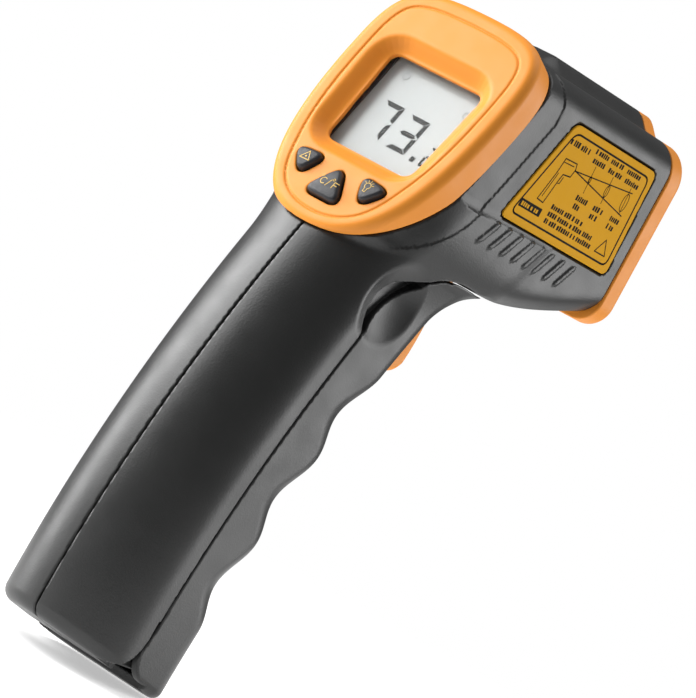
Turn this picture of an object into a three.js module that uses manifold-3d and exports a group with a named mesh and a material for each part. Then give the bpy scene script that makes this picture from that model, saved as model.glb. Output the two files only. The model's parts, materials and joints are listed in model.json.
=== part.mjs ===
// Pocket pistol-grip infrared thermometer, in millimetres.
// +X is the device's right, +Y the way it aims, +Z up. The design is drawn with y = 0 at the back of
// the grip's foot and z = 0 at the lowest point; the whole group is then shifted along Y to centre it.
import * as THREE from 'three';
import { mergeVertices } from 'three/addons/utils/BufferGeometryUtils.js';
import Module from 'manifold-3d';

const wasm = await Module();
wasm.setup();

// ---- Driving dimensions ----
const overallLength = 101;        // back of the grip's foot to the nose
const gripWidth = 32.6;           // across the grip at its foot
const gripWidthGain = 1.6;        // extra width at the top of the grip
const gripDepthFoot = 33.2;       // back to front at the foot
const gripDepthGain = 3.6;        // extra depth at the top of the grip
const gripBendRadius = 281;       // the back of the grip is an arc that starts upright
const gripBackRound = 14;         // depth of the rounded back
const gripCorner = 7.5;           // rounding of the grip's front corners
const scallopDepth = 1.5;         // finger scallops across the front of the grip
const scallopCorner = 2.5;        // how much the scallops soften the front corners
const scallopPitch = 20.6;
const scallopFirst = 27;          // height of the lowest scallop's middle
const scallopCount = 3;
const footRise = 6.2;             // height of the foot's back edge
const footSlope = 0.19;           // the foot drops towards the front by this much per mm
const headWidth = 42;             // across the barrel
const headTop = 149.3;            // shoulder line of the barrel
const headCorner = 7;
const barrelFrontBottom = 109;    // underside of the barrel at the nose
const barrelRearBottom = 102;     // underside of the barrel at the trigger
const barrelRearY = 60;
const humpTop = 152.9;            // crest along the top of the barrel
const humpHalfWidth = 8;
const wall = 2;
const surroundProud = 0.5;        // the display surround stands this much wider than the barrel
const displayWidth = headWidth + 2 * surroundProud;
const displayTilt = THREE.MathUtils.degToRad(21);
const displayUp = 29.9;           // from the display anchor to the surround's top
const displayDown = 28.9;         // from the display anchor to the surround's bottom tip
const displayAnchor = new THREE.Vector3(0, 26, 125.5);
const displayWaist = displayUp * 0.43;  // the surround is widest here
const displayDepth = 8.2;         // face to seam, at the sides
const windowTopHalf = 12.5;
const windowBottomHalf = 11.6;
const windowTopS = 14;
const windowBottomS = -9.3;
const windowRecess = 2.7;         // how far the opening's edge lies below the face
const windowCorner = 2.2;
const funnelFlare = 2.7;          // the face slopes down to the opening over this width
const noseDepth = 6.7;            // length of the orange nose ring
const noseDrop = 1.3;             // the nose ring reaches this much lower than the barrel
const apertureRadius = 11;        // recess round the infrared lens
const opticsZ = 126;              // height of the optical axis
const laserZ = 142.6;             // height of the laser
const laserBore = 2.4;
const batteryWidth = 26.5;
const batteryThick = 17.5;
const batteryHeight = 46.4;
const triggerWidth = 11.4;
const hingeY = 23;                // battery door hinge
const hingeZ = 9.5;
const hingeLobe = 6.9;
const pegRadius = 1.6;            // the door's pivots
const labelThick = 0.5;
const screwRadius = 1.2;
const boardThick = 1.6;

// ---- Clearances ----
const gap = 0.35;                 // between pieces that touch
const sideGap = 0.4;              // beside a moving piece
const splitGap = 0.15;            // each side of the middle plane

// ---- Derived sizes ----
const halfHead = headWidth / 2;
const noseY = overallLength;
const noseSeamY = noseY - noseDepth;
const slotHalf = triggerWidth / 2 + sideGap;

// ---- Mesh helpers ----
function solid(geometry) {
  const bare = geometry.clone();
  bare.deleteAttribute('normal');
  bare.deleteAttribute('uv');
  const merged = mergeVertices(bare, 1e-4);
  const mesh = new wasm.Mesh({
    numProp: 3,
    vertProperties: new Float32Array(merged.attributes.position.array),
    triVerts: new Uint32Array(merged.index.array),
  });
  return new wasm.Manifold(mesh);
}

function geometryOf(body) {
  const mesh = body.getMesh();
  const geometry = new THREE.BufferGeometry();
  geometry.setAttribute('position', new THREE.BufferAttribute(mesh.vertProperties, 3));
  geometry.setIndex(new THREE.BufferAttribute(mesh.triVerts, 1));
  geometry.computeVertexNormals();
  return geometry;
}

function join(first, ...others) {
  return others.reduce((sum, item) => sum.add(item), first);
}

function cut(first, ...others) {
  return others.reduce((rest, item) => rest.subtract(item), first);
}

function placed(geometry, matrix) {
  return geometry.clone().applyMatrix4(matrix);
}

// A box given by its lowest and highest corners.
function box(x0, y0, z0, x1, y1, z1) {
  const geometry = new THREE.BoxGeometry(x1 - x0, y1 - y0, z1 - z0);
  geometry.translate((x0 + x1) / 2, (y0 + y1) / 2, (z0 + z1) / 2);
  return geometry;
}

function shapeOf(points) {
  return new THREE.Shape(points.map(([a, b]) => new THREE.Vector2(a, b)));
}

const axisX = new THREE.Vector3(1, 0, 0);
const axisY = new THREE.Vector3(0, 1, 0);
const axisZ = new THREE.Vector3(0, 0, 1);
const sideBasis = new THREE.Matrix4().makeBasis(axisY, axisZ, axisX);
const frontBasis = new THREE.Matrix4().makeBasis(axisX.clone().negate(), axisZ, axisY);

// A side-view outline (y, z) extruded from x0 to x1.
function sidePrism(shape, x0, x1, curveSegments = 8) {
  const settings = { depth: x1 - x0, bevelEnabled: false, curveSegments };
  const geometry = new THREE.ExtrudeGeometry(shape, settings);
  geometry.translate(0, 0, x0);
  return placed(geometry, sideBasis);
}

// A front-view outline, seen looking back along Y, extruded from y0 to y1.
function frontPrism(shape, y0, y1, options = {}) {
  const settings = { depth: y1 - y0, bevelEnabled: false, curveSegments: 8, ...options };
  const geometry = new THREE.ExtrudeGeometry(shape, settings);
  geometry.translate(0, 0, y0);
  return placed(geometry, frontBasis);
}

// A turned solid: profile of [radius, height] pairs round an axis from a base point.
function turned(profile, base, axis, segments = 16) {
  const points = profile.map(([radius, height]) => new THREE.Vector2(radius, height));
  const geometry = new THREE.LatheGeometry(points, segments);
  const turn = new THREE.Quaternion().setFromUnitVectors(axisY, axis.clone().normalize());
  return placed(geometry, new THREE.Matrix4().compose(base, turn, new THREE.Vector3(1, 1, 1)));
}

function rod(radius, base, axis, length, segments = 16) {
  return turned([[0, 0], [radius, 0], [radius, length], [0, length]], base, axis, segments);
}

function vec(x, y, z) {
  return new THREE.Vector3(x, y, z);
}

// A closed body through rings of points, all with the same count, with fan caps.
function loft(rings) {
  const count = rings[0].length;
  const points = rings.flat();
  const index = [];
  for (let r = 0; r + 1 < rings.length; r += 1) {
    for (let k = 0; k < count; k += 1) {
      const a = r * count + k;
      const b = r * count + (k + 1) % count;
      index.push(a, b, b + count, a, b + count, a + count);
    }
  }
  for (const [ring, start] of [[rings[0], 0], [rings.at(-1), (rings.length - 1) * count]]) {
    const middle = ring.reduce((sum, p) => sum.add(p), vec(0, 0, 0)).divideScalar(count);
    points.push(middle);
    const hub = points.length - 1;
    for (let k = 0; k < count; k += 1) {
      const a = start + k;
      const b = start + (k + 1) % count;
      index.push(...(start === 0 ? [hub, b, a] : [hub, a, b]));
    }
  }
  const geometry = new THREE.BufferGeometry();
  const array = new Float32Array(points.flatMap((p) => [p.x, p.y, p.z]));
  geometry.setAttribute('position', new THREE.BufferAttribute(array, 3));
  geometry.setIndex(index);
  return geometry;
}

// ---- Grip form ----
const gripTopZ = 114;
const gripFlareStart = 92;        // above this the grip widens into the head
const throatStart = 92.5;         // above this the grip's front runs out under the barrel
const throatRadius = 11;

function gripBack(z) {
  return z * z / (2 * gripBendRadius) - 0.25;
}

function scallop(z) {
  const turns = (z - scallopFirst) / scallopPitch;
  if (turns < -0.5 || turns > scallopCount - 0.5) {
    return 0;
  }
  return (1 + Math.cos(2 * Math.PI * turns)) / 2;
}

function gripFront(z) {
  const base = gripBack(z) + gripDepthFoot + gripDepthGain * z / 100;
  const rise = THREE.MathUtils.clamp(z - throatStart, 0, throatRadius * 0.95);
  const throat = throatRadius - Math.sqrt(throatRadius ** 2 - rise ** 2);
  return base + throat - scallopDepth * scallop(z);
}

function gripHalf(z) {
  const flare = THREE.MathUtils.clamp((z - gripFlareStart) / (gripTopZ - gripFlareStart), 0, 1);
  const straight = gripWidth / 2 + gripWidthGain / 2 * z / 100;
  return straight + (halfHead - 0.4 - straight) * flare * flare * (3 - 2 * flare);
}

// One horizontal section of the grip: rounded back, straight sides, rounded front corners.
function gripRing(z, inset) {
  const half = gripHalf(z) - inset;
  const back = gripBack(z) + inset;
  const front = gripFront(z) - inset;
  const round = gripBackRound - inset;
  const ease = inset > 0 ? 0 : scallopCorner * scallop(z);
  const corner = Math.max(gripCorner + ease - inset, 1);
  const right = [];
  const cornerSteps = 5;
  const backSteps = 7;
  for (let k = 0; k <= cornerSteps; k += 1) {
    const turn = Math.PI / 2 * (1 - k / cornerSteps);
    right.push([half - corner + corner * Math.cos(turn), front - corner + corner * Math.sin(turn)]);
  }
  for (let k = 0; k < backSteps; k += 1) {
    const turn = Math.PI / 2 * k / backSteps;
    right.push([half * Math.cos(turn), back + round - round * Math.sin(turn)]);
  }
  const left = right.map(([x, y]) => [-x, y]).reverse();
  const ring = [...right, [0, back], ...left];
  return ring.map(([x, y]) => vec(x, y, z)).reverse();
}

function gripBody(inset) {
  const rings = [];
  const low = -3;
  const step = 3.9;
  const count = Math.round((gripTopZ - low) / step);
  for (let k = 0; k <= count; k += 1) {
    rings.push(gripRing(low + (gripTopZ - low) * k / count, inset));
  }
  return solid(loft(rings));
}

// ---- Head form ----
function barrelBottom(y) {
  const share = THREE.MathUtils.clamp((y - barrelRearY) / (noseSeamY - barrelRearY), 0, 1);
  return barrelRearBottom + (barrelFrontBottom - barrelRearBottom) * share;
}

// Front-view outline of the head: rounded box with a crest on top.
function headRing(y, inset, hump, drop = 0) {
  const half = halfHead - inset;
  const top = headTop - inset;
  const crest = top + (humpTop - headTop) * hump;
  const bottom = barrelBottom(y) + inset - drop;
  const corner = headCorner - inset;
  const right = [];
  const steps = 4;
  const shoulder = humpHalfWidth - inset * 0.5;
  right.push([shoulder * 0.55, crest], [shoulder, crest - (crest - top) * 0.25]);
  right.push([shoulder + 2.2, top]);
  for (let k = 0; k <= steps; k += 1) {
    const turn = Math.PI / 2 * (1 - k / steps);
    right.push([half - corner + corner * Math.cos(turn), top - corner + corner * Math.sin(turn)]);
  }
  for (let k = 0; k <= steps; k += 1) {
    const turn = Math.PI / 2 * k / steps;
    right.push([half - corner + corner * Math.cos(turn), bottom + corner - corner * Math.sin(turn)]);
  }
  const left = right.map(([x, z]) => [-x, z]).reverse();
  return [...right, ...left].map(([x, z]) => vec(x, y, z));
}

const humpStart = 50;
const humpFull = 58;

function headBody(inset) {
  const stations = [17, humpStart, (humpStart + humpFull) / 2, humpFull, barrelRearY + 2, noseSeamY + 10];
  const rings = stations.map((y) => {
    const share = THREE.MathUtils.clamp((y - humpStart) / (humpFull - humpStart), 0, 1);
    return headRing(y, inset, 0.02 + 0.98 * Math.sin(share * Math.PI / 2));
  });
  return solid(loft(rings));
}

// ---- Display frame of reference: x, s up the face, n out of the face ----
const faceUp = vec(0, Math.sin(displayTilt), Math.cos(displayTilt));
const faceOut = vec(0, -Math.cos(displayTilt), Math.sin(displayTilt));
const faceBasis = new THREE.Matrix4().makeBasis(axisX, faceUp, faceOut).setPosition(displayAnchor);

function facePoint(x, s, depth) {
  return vec(x, s, -depth).applyMatrix4(faceBasis);
}

// A face-view outline (x, s) between two depths below the face.
function facePrism(shape, depth0, depth1, options = {}) {
  const settings = { depth: depth1 - depth0, bevelEnabled: false, curveSegments: 8, ...options };
  const geometry = new THREE.ExtrudeGeometry(shape, settings);
  geometry.translate(0, 0, -depth1);
  return placed(geometry, faceBasis);
}

function faceBox(x0, s0, depth0, x1, s1, depth1) {
  return placed(box(x0, s0, -depth1, x1, s1, -depth0), faceBasis);
}

// Shield outline of the display surround.
function shieldShape(inset) {
  const half = displayWidth / 2 - inset;
  const up = displayUp - inset;
  const down = displayDown - inset;
  const shape = new THREE.Shape();
  shape.moveTo(0, -down);
  shape.bezierCurveTo(half * 0.7, -down, half * 1.02, -down * 0.55, half, displayWaist);
  shape.bezierCurveTo(half, up * 0.935, half * 0.75, up, 0, up);
  shape.bezierCurveTo(-half * 0.75, up, -half, up * 0.935, -half, displayWaist);
  shape.bezierCurveTo(-half * 1.02, -down * 0.55, -half * 0.7, -down, 0, -down);
  return shape;
}

// Window opening: a slightly tapered rectangle with rounded corners.
function windowShape(grow, corner) {
  const top = windowTopS + grow;
  const bottom = windowBottomS - grow;
  const corners = [
    [-windowBottomHalf - grow, bottom],
    [windowBottomHalf + grow, bottom],
    [windowTopHalf + grow, top],
    [-windowTopHalf - grow, top],
  ];
  return roundedShape(corners, corner);
}

// Polygon with its corners rounded by quadratic curves.
function roundedShape(corners, radius) {
  const points = corners.map(([a, b]) => new THREE.Vector2(a, b));
  const shape = new THREE.Shape();
  points.forEach((point, k) => {
    const before = points[(k + points.length - 1) % points.length];
    const after = points[(k + 1) % points.length];
    const enter = point.clone().add(before.clone().sub(point).setLength(radius));
    const leave = point.clone().add(after.clone().sub(point).setLength(radius));
    if (k === 0) {
      shape.moveTo(enter.x, enter.y);
    } else {
      shape.lineTo(enter.x, enter.y);
    }
    shape.quadraticCurveTo(point.x, point.y, leave.x, leave.y);
  });
  shape.closePath();
  return shape;
}

// Seam between the display surround and the housing, seen from the side: straight beside the
// display, then bending back to meet the back of the grip.
const seamTop = facePoint(0, displayUp + 6, displayDepth);
const seamBend = facePoint(0, -7, displayDepth);
const seamTipZ = facePoint(0, -displayDown, 0).z - 0.1;
const seamTip = vec(0, gripBack(seamTipZ), seamTipZ);
const seamRun = vec(0, seamTip.y - 4, seamTip.z - 4.6);

function seamShape(shift) {
  const shape = new THREE.Shape();
  shape.moveTo(-40, seamTop.z);
  shape.lineTo(-40, seamRun.z);
  shape.lineTo(seamRun.y + shift, seamRun.z);
  shape.lineTo(seamTip.y + shift, seamTip.z);
  shape.quadraticCurveTo(seamTip.y + 9.5 + shift, seamTip.z + 9.5, seamBend.y + shift, seamBend.z);
  shape.lineTo(seamTop.y + shift, seamTop.z);
  shape.closePath();
  return shape;
}

// ---- Battery door outline, seen from the side ----
function doorSeamY(z) {
  return gripBack(z) + 16.9;
}

const doorShoulderZ = 84.8;
const doorTopZ = 102.4;
const doorTopY = 55;

function doorShape(shift) {
  const shape = new THREE.Shape();
  shape.moveTo(80, -10);
  if (shift > 0) {
    shape.lineTo(hingeY, -10);
    shape.lineTo(hingeY, hingeZ - hingeLobe + shift);
    shape.absarc(hingeY, hingeZ, hingeLobe - shift, -Math.PI / 2, -Math.PI, true);
  } else {
    shape.lineTo(hingeY - hingeLobe, -10);
    shape.lineTo(hingeY - hingeLobe, hingeZ);
  }
  for (let z = hingeZ + 6; z < doorShoulderZ; z += 11) {
    shape.lineTo(doorSeamY(z) + shift, z);
  }
  shape.lineTo(doorSeamY(doorShoulderZ) + shift, doorShoulderZ - shift * 0.5);
  shape.quadraticCurveTo(doorSeamY(doorShoulderZ) - 1.6 + shift, 92.6, 32.4 + shift, 96.6 - shift);
  shape.quadraticCurveTo(37.5, 98.6 - shift, 42.7, 101.3 - shift);
  shape.quadraticCurveTo(47.5, doorTopZ + 0.8 - shift, doorTopY, doorTopZ - shift);
  shape.lineTo(80, doorTopZ - shift);
  shape.closePath();
  return shape;
}

// ---- Whole outer and inner forms ----
const footPlane = sidePrism(shapeOf([
  [-60, footRise + 60 * footSlope],
  [-60, -60],
  [120, -60],
  [120, footRise - 120 * footSlope],
]), -60, 60);
const foot = solid(footPlane);

// The lower part of the shield outline, carried straight up past the display's top.
function shieldColumn(inset) {
  const half = displayWidth / 2 - inset;
  const down = displayDown - inset;
  const sky = 150;
  const shape = new THREE.Shape();
  shape.moveTo(0, -down);
  shape.bezierCurveTo(half * 0.7, -down, half * 1.02, -down * 0.55, half, displayWaist);
  shape.lineTo(half, sky);
  shape.lineTo(-half, sky);
  shape.lineTo(-half, displayWaist);
  shape.bezierCurveTo(-half * 1.02, -down * 0.55, -half * 0.7, -down, 0, -down);
  return solid(facePrism(shape, -20, 120));
}

const seamCutter = solid(sidePrism(seamShape(0), -60, 60));
const gripOuter = cut(gripBody(0), foot);
const headOuter = headBody(0);
// The head is trimmed to the display's outline, carried forward square to the face.
const headTrim = 0.25;            // the surround stands this much proud of the housing
const headBehind = cut(headOuter.intersect(shieldColumn(headTrim)), seamCutter);
const shell = join(gripOuter.subtract(seamCutter), headBehind);
const noseCutter = solid(box(-60, noseSeamY, 0, 60, 200, 200));
const outer = shell.subtract(noseCutter);

const footInner = foot.translate(0, 0, wall);
const gripInner = cut(gripBody(wall), footInner);
const headInner = headBody(wall).intersect(shieldColumn(headTrim + wall));
const inner = join(gripInner, headInner);

// ---- Housing halves ----
const pinY = 58;                  // trigger pivot
const pinZ = 107.8;
const pinRadius = 1.5;
const pinBossRadius = 3.4;
const springRoom = 3.3;           // beside the trigger, for its spring
const pinBossX = triggerWidth / 2 + springRoom;
const bossRadius = 4.2;
const screwHeadRadius = 2.7;
const screwHead = 1.8;
const screwHeadX = -8;            // where the screw heads seat
const screwLength = 14.5;
const screwPlaces = [
  [10.2, 10.4],
  [gripBack(81) + 10.5, 81],
  [gripBack(95.4) + 13.7, 95.4],
  [60, 142.5],
  [84, 113.2],
];

function labelCorners(grow) {
  return [
    [46 - grow, 118.6 - grow],
    [90.4 + grow, 118.6 - grow],
    [89.2 + grow, 142.5 + grow],
    [54.8 - grow, 142.5 + grow],
  ];
}

const ribCount = 8;
const ribPitch = 4.6;
const ribFirst = 43.2;            // foot of the rearmost rib
const ribWidth = 2.2;
const ribLow = 111.8;
const ribHigh = 116.8;
const ribLean = 0.66;             // forward lean per mm of height
const ribProud = 0.45;
const ribRoot = 0.6;              // depth of the rib inside the wall

function sideRibs(side) {
  const ribs = [];
  for (let k = 0; k < ribCount; k += 1) {
    const y = ribFirst + ribPitch * k;
    const half = ribWidth / 2;
    const lean = ribLean * (ribHigh - ribLow);
    const outline = shapeOf([
      [y - half, ribLow],
      [y + half, ribLow],
      [y + half + lean, ribHigh],
      [y - half + lean, ribHigh],
    ]);
    const x0 = side > 0 ? halfHead - ribRoot : -halfHead - ribProud;
    ribs.push(solid(sidePrism(outline, x0, x0 + ribRoot + ribProud)));
  }
  return ribs;
}

const doorCut = solid(sidePrism(doorShape(0), -60, 60));
const gripNear = gripBody(wall - 0.4);
const footCorner = new THREE.Shape();
const footCornerRadius = 7.5;
const footCornerY = hingeY - hingeLobe + 0.4;
const footCornerBase = 4.6;       // underside of the hinge cheeks
footCorner.moveTo(footCornerY, -5);
const footArcY = footCornerY - footCornerRadius;
const footArcZ = footCornerBase + footCornerRadius;
footCorner.lineTo(footCornerY, footArcZ);
footCorner.absarc(footArcY, footArcZ, footCornerRadius, 0, -Math.PI / 2, true);
footCorner.lineTo(footArcY, -5);
footCorner.closePath();

function housingHalf(side) {
  const outward = axisX.clone().multiplyScalar(side);
  const reach = side > 0 ? [splitGap, 60] : [-60, -splitGap];
  const halfSpace = solid(box(reach[0], -60, -20, reach[1], 200, 220));
  const shelves = [15, 75].map((z) => {
    const slab = solid(box(-60, -20, z, 60, doorSeamY(z) - 1.5, z + 1.4));
    return slab.intersect(gripNear);
  });
  const bosses = screwPlaces.map(([y, z]) => {
    const post = rod(bossRadius, vec(0, y, z), outward, halfHead + 2, 14);
    return solid(post).intersect(outer);
  });
  const pinBoss = solid(rod(pinBossRadius, vec(pinBossX * side, pinY, pinZ), outward, halfHead, 14));
  const lugX = 11.2;
  const lugThick = 2.7;
  const lugNear = lugX * side;
  const lugFar = (lugX + lugThick) * side;
  const lugEye = solid(rod(3.7, vec(lugNear, hingeY, hingeZ), outward, lugThick, 16));
  const [lugLow, lugHigh] = side > 0 ? [lugNear, lugFar] : [lugFar, lugNear];
  const lugArm = solid(box(lugLow, 9, 4.8, lugHigh, hingeY, hingeZ + 3.6));
  const lug = lugEye.add(lugArm);
  let body = join(outer.subtract(inner), ...shelves, ...bosses, pinBoss.intersect(outer));
  body = cut(body, doorCut);
  body = join(body, lug, ...sideRibs(side));
  const slot = solid(box(-slotHalf - 0.2, 46, 90, slotHalf + 0.2, 70, 106.5));
  const pegHole = solid(rod(pegRadius + gap, vec(0, hingeY, hingeZ), outward, 30, 14));
  const pinHole = solid(rod(pinRadius + gap, vec(0, pinY, pinZ), outward, 17.6, 14));
  const cornerX = 12.2;
  const cornerReach = side > 0 ? [cornerX, 60] : [-60, -cornerX];
  const cornerCut = solid(sidePrism(footCorner, ...cornerReach));
  const besideLugs = cut(cornerCut, solid(box(-14.1, 5, 4.7, 14.1, 40, 30)));
  body = cut(body, slot, pegHole, pinHole, besideLugs);
  const holes = screwPlaces.map(([y, z]) => {
    const depth = side > 0 ? screwLength + screwHeadX + 1 : 60;
    return solid(rod(screwRadius + gap, vec(0, y, z), outward, depth, 12));
  });
  body = cut(body, ...holes);
  if (side < 0) {
    const pockets = screwPlaces.map(([y, z]) => (
      solid(rod(screwHeadRadius + gap, vec(screwHeadX, y, z), outward, 40, 14))
    ));
    body = cut(body, ...pockets);
  } else {
    const recess = roundedShape(labelCorners(0.3), 2);
    body = cut(body, solid(sidePrism(recess, halfHead - 0.85, 60)));
  }
  return largest(body.intersect(halfSpace));
}

// The cuts can free tiny slivers; the housing is the piece that stays.
function largest(body) {
  return body.decompose().sort((a, b) => b.volume() - a.volume())[0];
}

// ---- Display surround, window and keys ----
const plateDepth = 3.6;           // thickness of the surround's face
const keyProud = 1.2;
const keyOutlines = {
  key_laser: [[-12.9, -14.9], [-8.3, -20.6], [-5.1, -14.1]],
  key_unit: [[-4.9, -22.7], [4.9, -22.7], [0, -14.4]],
  key_backlight: [[12.9, -14.9], [5.1, -14.1], [8.3, -20.6]],
};
const keyCentres = {
  key_laser: [-8.6, -16.4],
  key_unit: [0, -19.4],
  key_backlight: [8.6, -16.4],
};

function grown(corners, amount) {
  const centre = corners.reduce((sum, [a, b]) => [sum[0] + a / 3, sum[1] + b / 3], [0, 0]);
  return corners.map(([a, b]) => {
    const away = new THREE.Vector2(a - centre[0], b - centre[1]);
    away.setLength(away.length() + amount * 1.7);
    return [centre[0] + away.x, centre[1] + away.y];
  });
}

function shapeRing(shape, depth) {
  const points = shape.getPoints(5).slice(0, -1);
  return points.map((p) => facePoint(p.x, p.y, depth));
}

const postRadius = 1.9;
const postHole = 1 + gap;         // for the small board screws
const postTopX = displayWidth / 2 - headTrim - wall - postRadius - gap - 0.2;
const postLowX = postTopX - 1.1;
const postTopS = 14;
const postLowS = -6.5;
const boardPosts = [
  [-postTopX, postTopS],
  [postTopX, postTopS],
  [-postLowX, postLowS],
  [postLowX, postLowS],
];
const frameHalf = postLowX - postRadius - 0.3;
const cellHalf = frameHalf - 0.8; // half width of the display cell
const boardFront = 9.8;           // depth of the main board's front face

function displayBezel() {
  const edge = 2.4;
  const bevel = {
    bevelEnabled: true,
    bevelThickness: edge,
    bevelSize: edge,
    bevelOffset: -edge,
    bevelSegments: 3,
  };
  const block = solid(facePrism(shieldShape(0), edge, 26, bevel));
  const cavity = solid(facePrism(shieldShape(2.2), plateDepth, 40));
  const seamBack = solid(sidePrism(seamShape(-gap), -60, 60));
  const opening = solid(facePrism(windowShape(0, windowCorner), -1, 10, { curveSegments: 5 }));
  const funnelFloor = shapeRing(windowShape(0, windowCorner), windowRecess);
  const funnelRim = shapeRing(windowShape(funnelFlare, windowCorner + 1.8), -0.05);
  const funnel = solid(loft([funnelFloor, funnelRim]));
  const keyHoles = Object.values(keyOutlines).map((corners) => (
    solid(facePrism(roundedShape(grown(corners, gap), 2.4), -1, 10, { curveSegments: 4 }))
  ));
  const posts = boardPosts.map(([x, s]) => (
    solid(rod(postRadius, facePoint(x, s, plateDepth - 0.6), faceOut.clone().negate(), 6.4, 12))
  ));
  const postHoles = boardPosts.map(([x, s]) => (
    solid(rod(postHole, facePoint(x, s, plateDepth + 1.6), faceOut.clone().negate(), 8, 10))
  ));
  let body = cut(block, cavity).intersect(seamBack);
  body = join(body, ...posts);
  return largest(cut(body, opening, funnel, ...keyHoles, ...postHoles));
}

function keyBody(name) {
  const corners = keyOutlines[name];
  const [x, s] = keyCentres[name];
  const cap = solid(facePrism(roundedShape(corners, 2.3), 0.5 - keyProud, plateDepth + 0.8, {
    curveSegments: 4,
    bevelEnabled: true,
    bevelThickness: 0.5,
    bevelSize: 0.5,
    bevelOffset: -0.5,
    bevelSegments: 2,
  }));
  const trim = solid(faceBox(-30, -40, -5, 30, 0, plateDepth + 0.7));
  const flangeShape = roundedShape(grown(corners, 0.45), 2.5);
  const flange = solid(facePrism(flangeShape, plateDepth + gap, plateDepth + 1, { curveSegments: 4 }));
  const stem = solid(rod(1.5, facePoint(x, s, plateDepth + 0.5), faceOut.clone().negate(), 1.1, 10));
  return join(cap.intersect(trim), flange, stem);
}

function keySwitch(name) {
  const [x, s] = keyCentres[name];
  const body = solid(faceBox(x - 2.4, s - 2.4, 6.6, x + 2.4, s + 2.4, boardFront - gap));
  const button = solid(rod(1.3, facePoint(x, s, 7), faceOut, 0.8, 10));
  return body.add(button);
}

function mainBoard() {
  const margin = postRadius - 0.1;
  const right = [
    [11.5, -21.5],
    [postLowX - 0.7, -15.5],
    [postLowX + margin, postLowS + 0.5],
    [postTopX + margin, postTopS + 5],
  ];
  const corners = [...right, ...right.map(([x, s]) => [-x, s]).reverse()];
  const sheet = solid(facePrism(roundedShape(corners, 2), boardFront, boardFront + boardThick));
  const holes = boardPosts.map(([x, s]) => (
    solid(rod(postHole, facePoint(x, s, boardFront - 1), faceOut.clone().negate(), 5, 10))
  ));
  return cut(sheet, ...holes);
}

function boardScrew([x, s]) {
  const profile = [
    [0, 0],
    [0.95, 0],
    [0.95, 5.6],
    [1.9, 5.6],
    [1.9, 6.4],
    [1.2, 6.9],
    [0, 6.9],
  ];
  const tip = facePoint(x, s, boardFront + boardThick + gap - 5.6);
  return turned(profile, tip, faceOut.clone().negate(), 12);
}

// ---- Nose ----
const noseHoleDepth = 5.6;

function noseRing() {
  const edge = 2.6;
  const outline = headRing(noseSeamY, 0, 1, noseDrop).map((p) => [-p.x, p.z]);
  const block = solid(frontPrism(shapeOf(outline), noseSeamY - 5, noseY - edge, {
    bevelEnabled: true,
    bevelThickness: edge,
    bevelSize: edge,
    bevelOffset: -edge,
    bevelSegments: 3,
  }));
  const hollow = headRing(noseSeamY, wall, 1, noseDrop).map((p) => [-p.x, p.z]);
  const cavity = solid(frontPrism(shapeOf(hollow), 0, noseY - 2.8));
  const front = solid(box(-60, noseSeamY + gap, 0, 60, 200, 200));
  const cup = solid(rod(apertureRadius + 1.8, vec(0, noseSeamY + gap, opticsZ), axisY, 5, 24));
  const bore = solid(turned([
    [0, 0],
    [apertureRadius - 2.4, 0],
    [apertureRadius, noseHoleDepth],
    [apertureRadius + 0.8, noseDepth],
    [apertureRadius + 0.8, noseDepth + 4],
    [0, noseDepth + 4],
  ], vec(0, noseSeamY, opticsZ), axisY, 24));
  const laserHole = solid(rod(laserBore, vec(0, 80, laserZ), axisY, 40, 14));
  return cut(join(cut(block, cavity), cup).intersect(front), bore, laserHole);
}

// ---- Battery door ----
// Opening for a thumb at the door's upper back corner, from the side.
function pryNotch() {
  const shape = new THREE.Shape();
  shape.moveTo(22, 95);
  shape.lineTo(29.4, doorShoulderZ - 0.6);
  shape.lineTo(31.1, doorShoulderZ + 0.6);
  shape.quadraticCurveTo(32.6, 91.8, 39.4, 98.2);
  shape.lineTo(39.9, 104);
  shape.lineTo(30, 104);
  shape.closePath();
  return shape;
}

function batteryDoor() {
  const region = solid(sidePrism(doorShape(gap), -60, 60));
  const cavity = cut(gripBody(wall), foot.translate(0, 0, wall));
  let body = cut(gripOuter.intersect(region), cavity);
  const slotFloor = 77.6;
  const slot = solid(box(-slotHalf, 20, slotFloor, slotHalf, 90, 120));
  const floorCut = solid(box(-14.3, 0, -5, 14.3, hingeY + 3.5, 14));
  const top = solid(box(-60, 0, doorTopZ - gap, 60, 120, 140));
  const notch = solid(sidePrism(pryNotch(), -60, 60));
  body = cut(body, slot, floorCut, top, notch);
  const pegs = [1, -1].map((side) => (
    solid(rod(pegRadius, vec(14.9 * side, hingeY, hingeZ), axisX.clone().multiplyScalar(-side), 3.3, 14))
  ));
  return largest(join(body, ...pegs));
}

// ---- Trigger ----
function triggerBody() {
  const shape = new THREE.Shape();
  shape.moveTo(52.6, 105);
  shape.quadraticCurveTo(51.4, 95, 52.4, 86);
  shape.quadraticCurveTo(53.2, 80.6, 57.2, 79.4);
  shape.quadraticCurveTo(61.6, 78.9, 63.6, 82.4);
  shape.quadraticCurveTo(64.4, 87, 64.2, 92);
  shape.quadraticCurveTo(64.4, 97, 66, 101.6);
  shape.lineTo(65, 105);
  shape.quadraticCurveTo(62.5, 111.5, pinY, 111.5);
  shape.quadraticCurveTo(54, 111.3, 52.6, 105);
  const half = triggerWidth / 2;
  const round = 1.2;
  const geometry = new THREE.ExtrudeGeometry(shape, {
    depth: triggerWidth - 2 * round,
    bevelEnabled: true,
    bevelThickness: round,
    bevelSize: round,
    bevelOffset: -round,
    bevelSegments: 2,
    curveSegments: 5,
  });
  geometry.translate(0, 0, round - half);
  const block = solid(placed(geometry, sideBasis));
  const bore = solid(rod(pinRadius + gap, vec(-20, pinY, pinZ), axisX, 40, 14));
  return cut(block, bore);
}

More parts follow.
